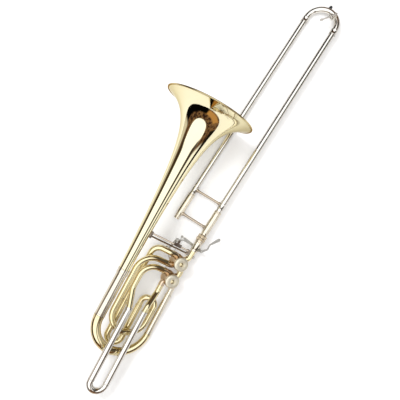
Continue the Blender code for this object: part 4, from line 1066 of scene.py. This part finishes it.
    def build_outer(self) -> None:
        """The sliding half: tubes, brace, crook, ferrules and bumper."""
        start = self.crook_end_y - self.crook_lead
        for x, side in ((0.0, "upper"), (self.slide_spacing, "lower")):
            middle = start - self.outer_brace_y
            total = start - self.gap - self.mouth_y
            thin, thick = self.outer_r, self.collar_r
            radii = [(0.0, thin), (middle - 12.2, thin), (middle - 12, thick), (middle - 10, thick),
                     (middle - 9.6, thick - 0.3), (middle + 9.6, thick - 0.3), (middle + 10, thick),
                     (middle + 12, thick), (middle + 12.2, thin), (total, thin)]
            outer = tube("outer", straight(x, start - self.gap, self.mouth_y), radii, NICKEL_SILVER, self.outer_wall)
            self.show(outer, NICKEL_SILVER, Body.OUTER_SLIDE, f"outer_tube_{side}")
            edge = self.crook_r + 0.9
            hole = self.crook_r + self.gap
            section = [(hole, -9), (edge, -9), (edge + 0.3, -8.6), (edge + 0.3, -7), (edge, -6.6), (edge, 5),
                       (edge + 0.3, 5.4), (edge + 0.3, 6.6), (edge, 7), (hole, 7)]
            self.show(turned("ferrule", section, NICKEL_SILVER, (x, start, 0), (0, 1, 0)), NICKEL_SILVER,
                      Body.OUTER_SLIDE, f"crook_ferrule_{side}")
        self.show(self.brace(self.outer_brace_y, self.collar_r, 3.7, 5.0), BRACE_SILVER_PAINTED_SHADE, Body.OUTER_SLIDE,
                  "outer_brace")
        radius = self.slide_spacing / 2
        top = self.crook_end_y + radius
        line = bent([(0, start, 0), (0, top, 0), (self.slide_spacing, top, 0), (self.slide_spacing, start, 0)],
                    [radius, radius])
        self.show(tube("crook", line, self.crook_r, NICKEL_SILVER, 0.8), NICKEL_SILVER, Body.OUTER_SLIDE,
                  "slide_crook")
        length = self.bumper_length
        section = [(0, 0.6), (4.6, 0.6), (4.8, 1.2), (4.8, 3), (4.5, 5.0), (4.2, 6.5), (3.6, length - 0.6),
                   (3.0, length), (0, length)]
        self.show(turned("bumper", section, RUBBER, (radius, top + self.crook_r, 0), (0, 1, 0), 48), RUBBER,
                  Body.OUTER_SLIDE, "slide_bumper")


@dataclass
class Action:
    """The small works that keep the model's own shapes: levers, rods, stops, springs and the water key."""

    def dress(self) -> None:
        """Gives every node of the model its finish."""
        slots = {part["node"]: part["material_slot"] for part in frame["record"]["subparts"]}
        for node, piece in frame["nodes"].items():
            look = material_of(FINISH_OF_SLOT[slots[node]])
            for socket in piece.material_slots:
                socket.material = look


@dataclass(frozen=True)
class RoomPatch:
    """A part of the room that the metal mirrors: a bearing from the top of the picture, and zenith angles."""

    bearing: float
    spread: float
    low: float
    high: float
    colour: tuple[float, float, float]
    blur: float = 3.0


ROOM_PATCHES = (
    RoomPatch(-32.0, 34.0, 42.0, 96.0, (0.02, 0.02, 0.02), 5.0),
    RoomPatch(-74.0, 10.0, 42.0, 66.0, (0.05, 0.035, 0.02)),
    RoomPatch(80.0, 32.0, 44.0, 96.0, (0.10, 0.09, 0.08), 5.0),
    RoomPatch(126.0, 10.0, 55.0, 79.0, (1.2, 1.2, 1.2)),
    RoomPatch(139.0, 12.0, 36.0, 54.0, (0.06, 0.045, 0.035)),
    RoomPatch(125.0, 30.0, 80.0, 104.0, (0.012, 0.009, 0.006)),
    RoomPatch(-166.0, 20.0, 80.0, 96.0, (0.55, 0.28, 0.09)),
    RoomPatch(-121.0, 31.0, 80.0, 120.0, (0.002, 0.002, 0.002), 2.0),
    RoomPatch(-76.0, 12.0, 76.0, 100.0, (0.75, 0.70, 0.62), 4.0),
)


@dataclass
class Studio:
    """Floor, light and camera."""

    camera_place: tuple[float, float, float] = (146.76, -778.12, 1234.94)
    focal_px: float = 456.05
    image_px: float = 400.0
    sensor_mm: float = 36.0
    floor_size: float = 1.9
    floor_glow: float = 0.28
    mirrored_glow: float = 0.24
    key_place: tuple[float, float, float] = (-1.1, 0.3, 2.3)
    key_size: float = 0.9
    key_power: float = 27.0
    ceiling_level: float = 1.5
    ceiling_tilt: float = 12.0
    ceiling_bearing: float = -150.0
    ceiling_spread: tuple[float, float] = (51.0, 48.0)
    wall_dark: tuple[float, float, float] = (0.03, 0.013, 0.009)
    wall_light: tuple[float, float, float] = (0.24, 0.13, 0.065)

    def build(self) -> None:
        """Makes the floor, the world, the lamp and the camera."""
        self.build_floor()
        self.build_world()
        self.build_key()
        self.build_camera()

    def level_ways(self) -> tuple[Vector, Vector]:
        """The level directions to the right and to the top of the picture."""
        heading = math.atan2(0.5344, 0.8452) + 0.007
        return (Vector((math.cos(heading), math.sin(heading), 0)), Vector((-math.sin(heading), math.cos(heading), 0)))

    def build_floor(self) -> None:
        """The sheet of white paper, which keeps the object's shadow."""
        right, ahead = self.level_ways()
        half = self.floor_size / 2
        middle = Vector(ROOT_PLACE) * MM + Vector((0.0, -0.6, 0.0))
        middle.z = 0.0
        corners = [middle + right * half * x + ahead * half * y for x, y in ((-1, -1), (1, -1), (1, 1), (-1, 1))]
        mesh = bpy.data.meshes.new("floor")
        mesh.from_pydata(corners, [], [(0, 1, 2, 3)])
        floor = bpy.data.objects.new("floor", mesh)
        bpy.context.scene.collection.objects.link(floor)
        paper = bpy.data.materials.new("white_paper")
        paper.use_nodes = True
        graph = Graph(paper.node_tree)
        paper.node_tree.nodes.remove(paper.node_tree.nodes["Principled BSDF"])
        output = paper.node_tree.nodes["Material Output"]
        matt = graph.add("ShaderNodeBsdfDiffuse", {"Color": (0.80, 0.80, 0.80, 1.0)}).outputs[0]
        path = graph.add("ShaderNodeLightPath").outputs
        mirrored = graph.maths("MULTIPLY", graph.maths("MAXIMUM", path["Is Glossy Ray"],
                                                       path["Is Transmission Ray"]), self.mirrored_glow)
        lift = graph.maths("MAXIMUM", graph.maths("MULTIPLY", path["Is Camera Ray"], self.floor_glow), mirrored)
        glow = graph.add("ShaderNodeEmission", {"Strength": lift}).outputs[0]
        both = graph.add("ShaderNodeAddShader", {0: matt, 1: glow}).outputs[0]
        paper.node_tree.links.new(both, output.inputs["Surface"])
        mesh.materials.append(paper)

    def build_world(self) -> None:
        """The room that the metal mirrors: a lit ceiling over brown walls. To the camera it is white."""
        world = bpy.data.worlds.new("studio")
        bpy.context.scene.world = world
        world.use_nodes = True
        graph = Graph(world.node_tree)
        right, ahead = self.level_ways()
        way = graph.add("ShaderNodeTexCoord").outputs["Generated"]
        height = graph.add("ShaderNodeSeparateXYZ", {0: way}).outputs["Z"]
        zenith = graph.maths("DEGREES", graph.maths("ARCCOSINE", height))

        def towards(axis: Vector) -> bpy.types.NodeSocket:
            """How far the ray heads along an axis, from -1 to 1."""
            return graph.add("ShaderNodeVectorMath", {0: way, 1: tuple(axis)},
                             operation="DOT_PRODUCT").outputs["Value"]

        def step(value: bpy.types.NodeSocket, low: float, high: float) -> bpy.types.NodeSocket:
            """A smooth step from 0 to 1 between two values, or back if the first is the larger."""
            return graph.add("ShaderNodeMapRange", {"Value": value, "From Min": low, "From Max": high},
                             interpolation_type="SMOOTHSTEP").outputs[0]

        blots = graph.add("ShaderNodeTexNoise", {"Vector": way, "Scale": 9.0, "Detail": 3.0}).outputs["Fac"]
        room = graph.add("ShaderNodeMix", {0: step(blots, 0.38, 0.62), 6: (*self.wall_dark, 1.0),
                                           7: (*self.wall_light, 1.0)}, data_type="RGBA").outputs[2]
        tilt = math.radians(self.ceiling_tilt)
        bearing = math.radians(self.ceiling_bearing)
        aside = ahead * math.cos(bearing) + right * math.sin(bearing)
        middle = Vector((0, 0, math.cos(tilt))) + aside * math.sin(tilt)
        edge, full = (math.cos(math.radians(angle)) for angle in self.ceiling_spread)
        lit = (self.ceiling_level,) * 3
        room = graph.add("ShaderNodeMix", {0: step(towards(middle), edge, full), 6: room, 7: (*lit, 1.0)},
                         data_type="RGBA").outputs[2]
        for patch in ROOM_PATCHES:
            bearing = math.radians(patch.bearing)
            forward = towards(ahead * math.cos(bearing) + right * math.sin(bearing))
            sideways = towards(right * math.cos(bearing) - ahead * math.sin(bearing))
            aside = graph.maths("ABSOLUTE", graph.maths("DEGREES", graph.maths("ARCTAN2", sideways, forward)))
            inside = graph.maths("MULTIPLY", step(aside, patch.spread + patch.blur, patch.spread - patch.blur),
                                 step(zenith, patch.low - patch.blur, patch.low + patch.blur))
            inside = graph.maths("MULTIPLY", inside, step(zenith, patch.high + patch.blur, patch.high - patch.blur))
            room = graph.add("ShaderNodeMix", {0: inside, 6: room, 7: (*patch.colour, 1.0)},
                             data_type="RGBA").outputs[2]
        seen = graph.add("ShaderNodeLightPath").outputs["Is Camera Ray"]
        colour = graph.add("ShaderNodeMix", {0: seen, 6: room, 7: (1.0, 1.0, 1.0, 1.0)}, data_type="RGBA").outputs[2]
        sky = world.node_tree.nodes["Background"]
        world.node_tree.links.new(colour, sky.inputs["Color"])
        sky.inputs["Strength"].default_value = 1.0

    def build_key(self) -> None:
        """One soft lamp from the upper left of the picture. The metal mirrors the ceiling in its place."""
        light = bpy.data.lights.new("key", "AREA")
        light.shape = "DISK"
        light.size = self.key_size
        light.energy = self.key_power
        lamp = bpy.data.objects.new("key", light)
        lamp.location = self.key_place
        lamp.rotation_euler = (-Vector(self.key_place)).to_track_quat("-Z", "Y").to_euler()
        lamp.visible_glossy = False
        bpy.context.scene.collection.objects.link(lamp)

    def build_camera(self) -> None:
        """The camera, where it stood for the photograph."""
        right, ahead = self.level_ways()
        look = (Vector((0, 0, -1)) + math.tan(0.134) * ahead + math.tan(-0.028) * right).normalized()
        across = look.cross(ahead).normalized()
        above = across.cross(look)
        turn = Matrix((across, above, -look)).transposed().to_4x4()
        place = (Vector(self.camera_place) + Vector(ROOT_PLACE)) * MM
        data = bpy.data.cameras.new("camera")
        data.sensor_width = self.sensor_mm
        data.lens = self.focal_px * self.sensor_mm / self.image_px
        data.clip_end = 50.0
        camera = bpy.data.objects.new("camera", data)
        camera.matrix_world = Matrix.Translation(place) @ turn
        bpy.context.scene.collection.objects.link(camera)
        bpy.context.scene.camera = camera


def main() -> None:
    """Builds the studio and every sub-assembly."""
    logging.basicConfig(level=logging.INFO, format="%(message)s")
    bpy.context.scene.view_settings.view_transform = "Standard"
    Studio().build()
    Action().dress()
    for section in (BellHorn(), Valves(), TuningSlides(), HandSlide()):
        section.build()


if __name__ == "__main__":
    main()
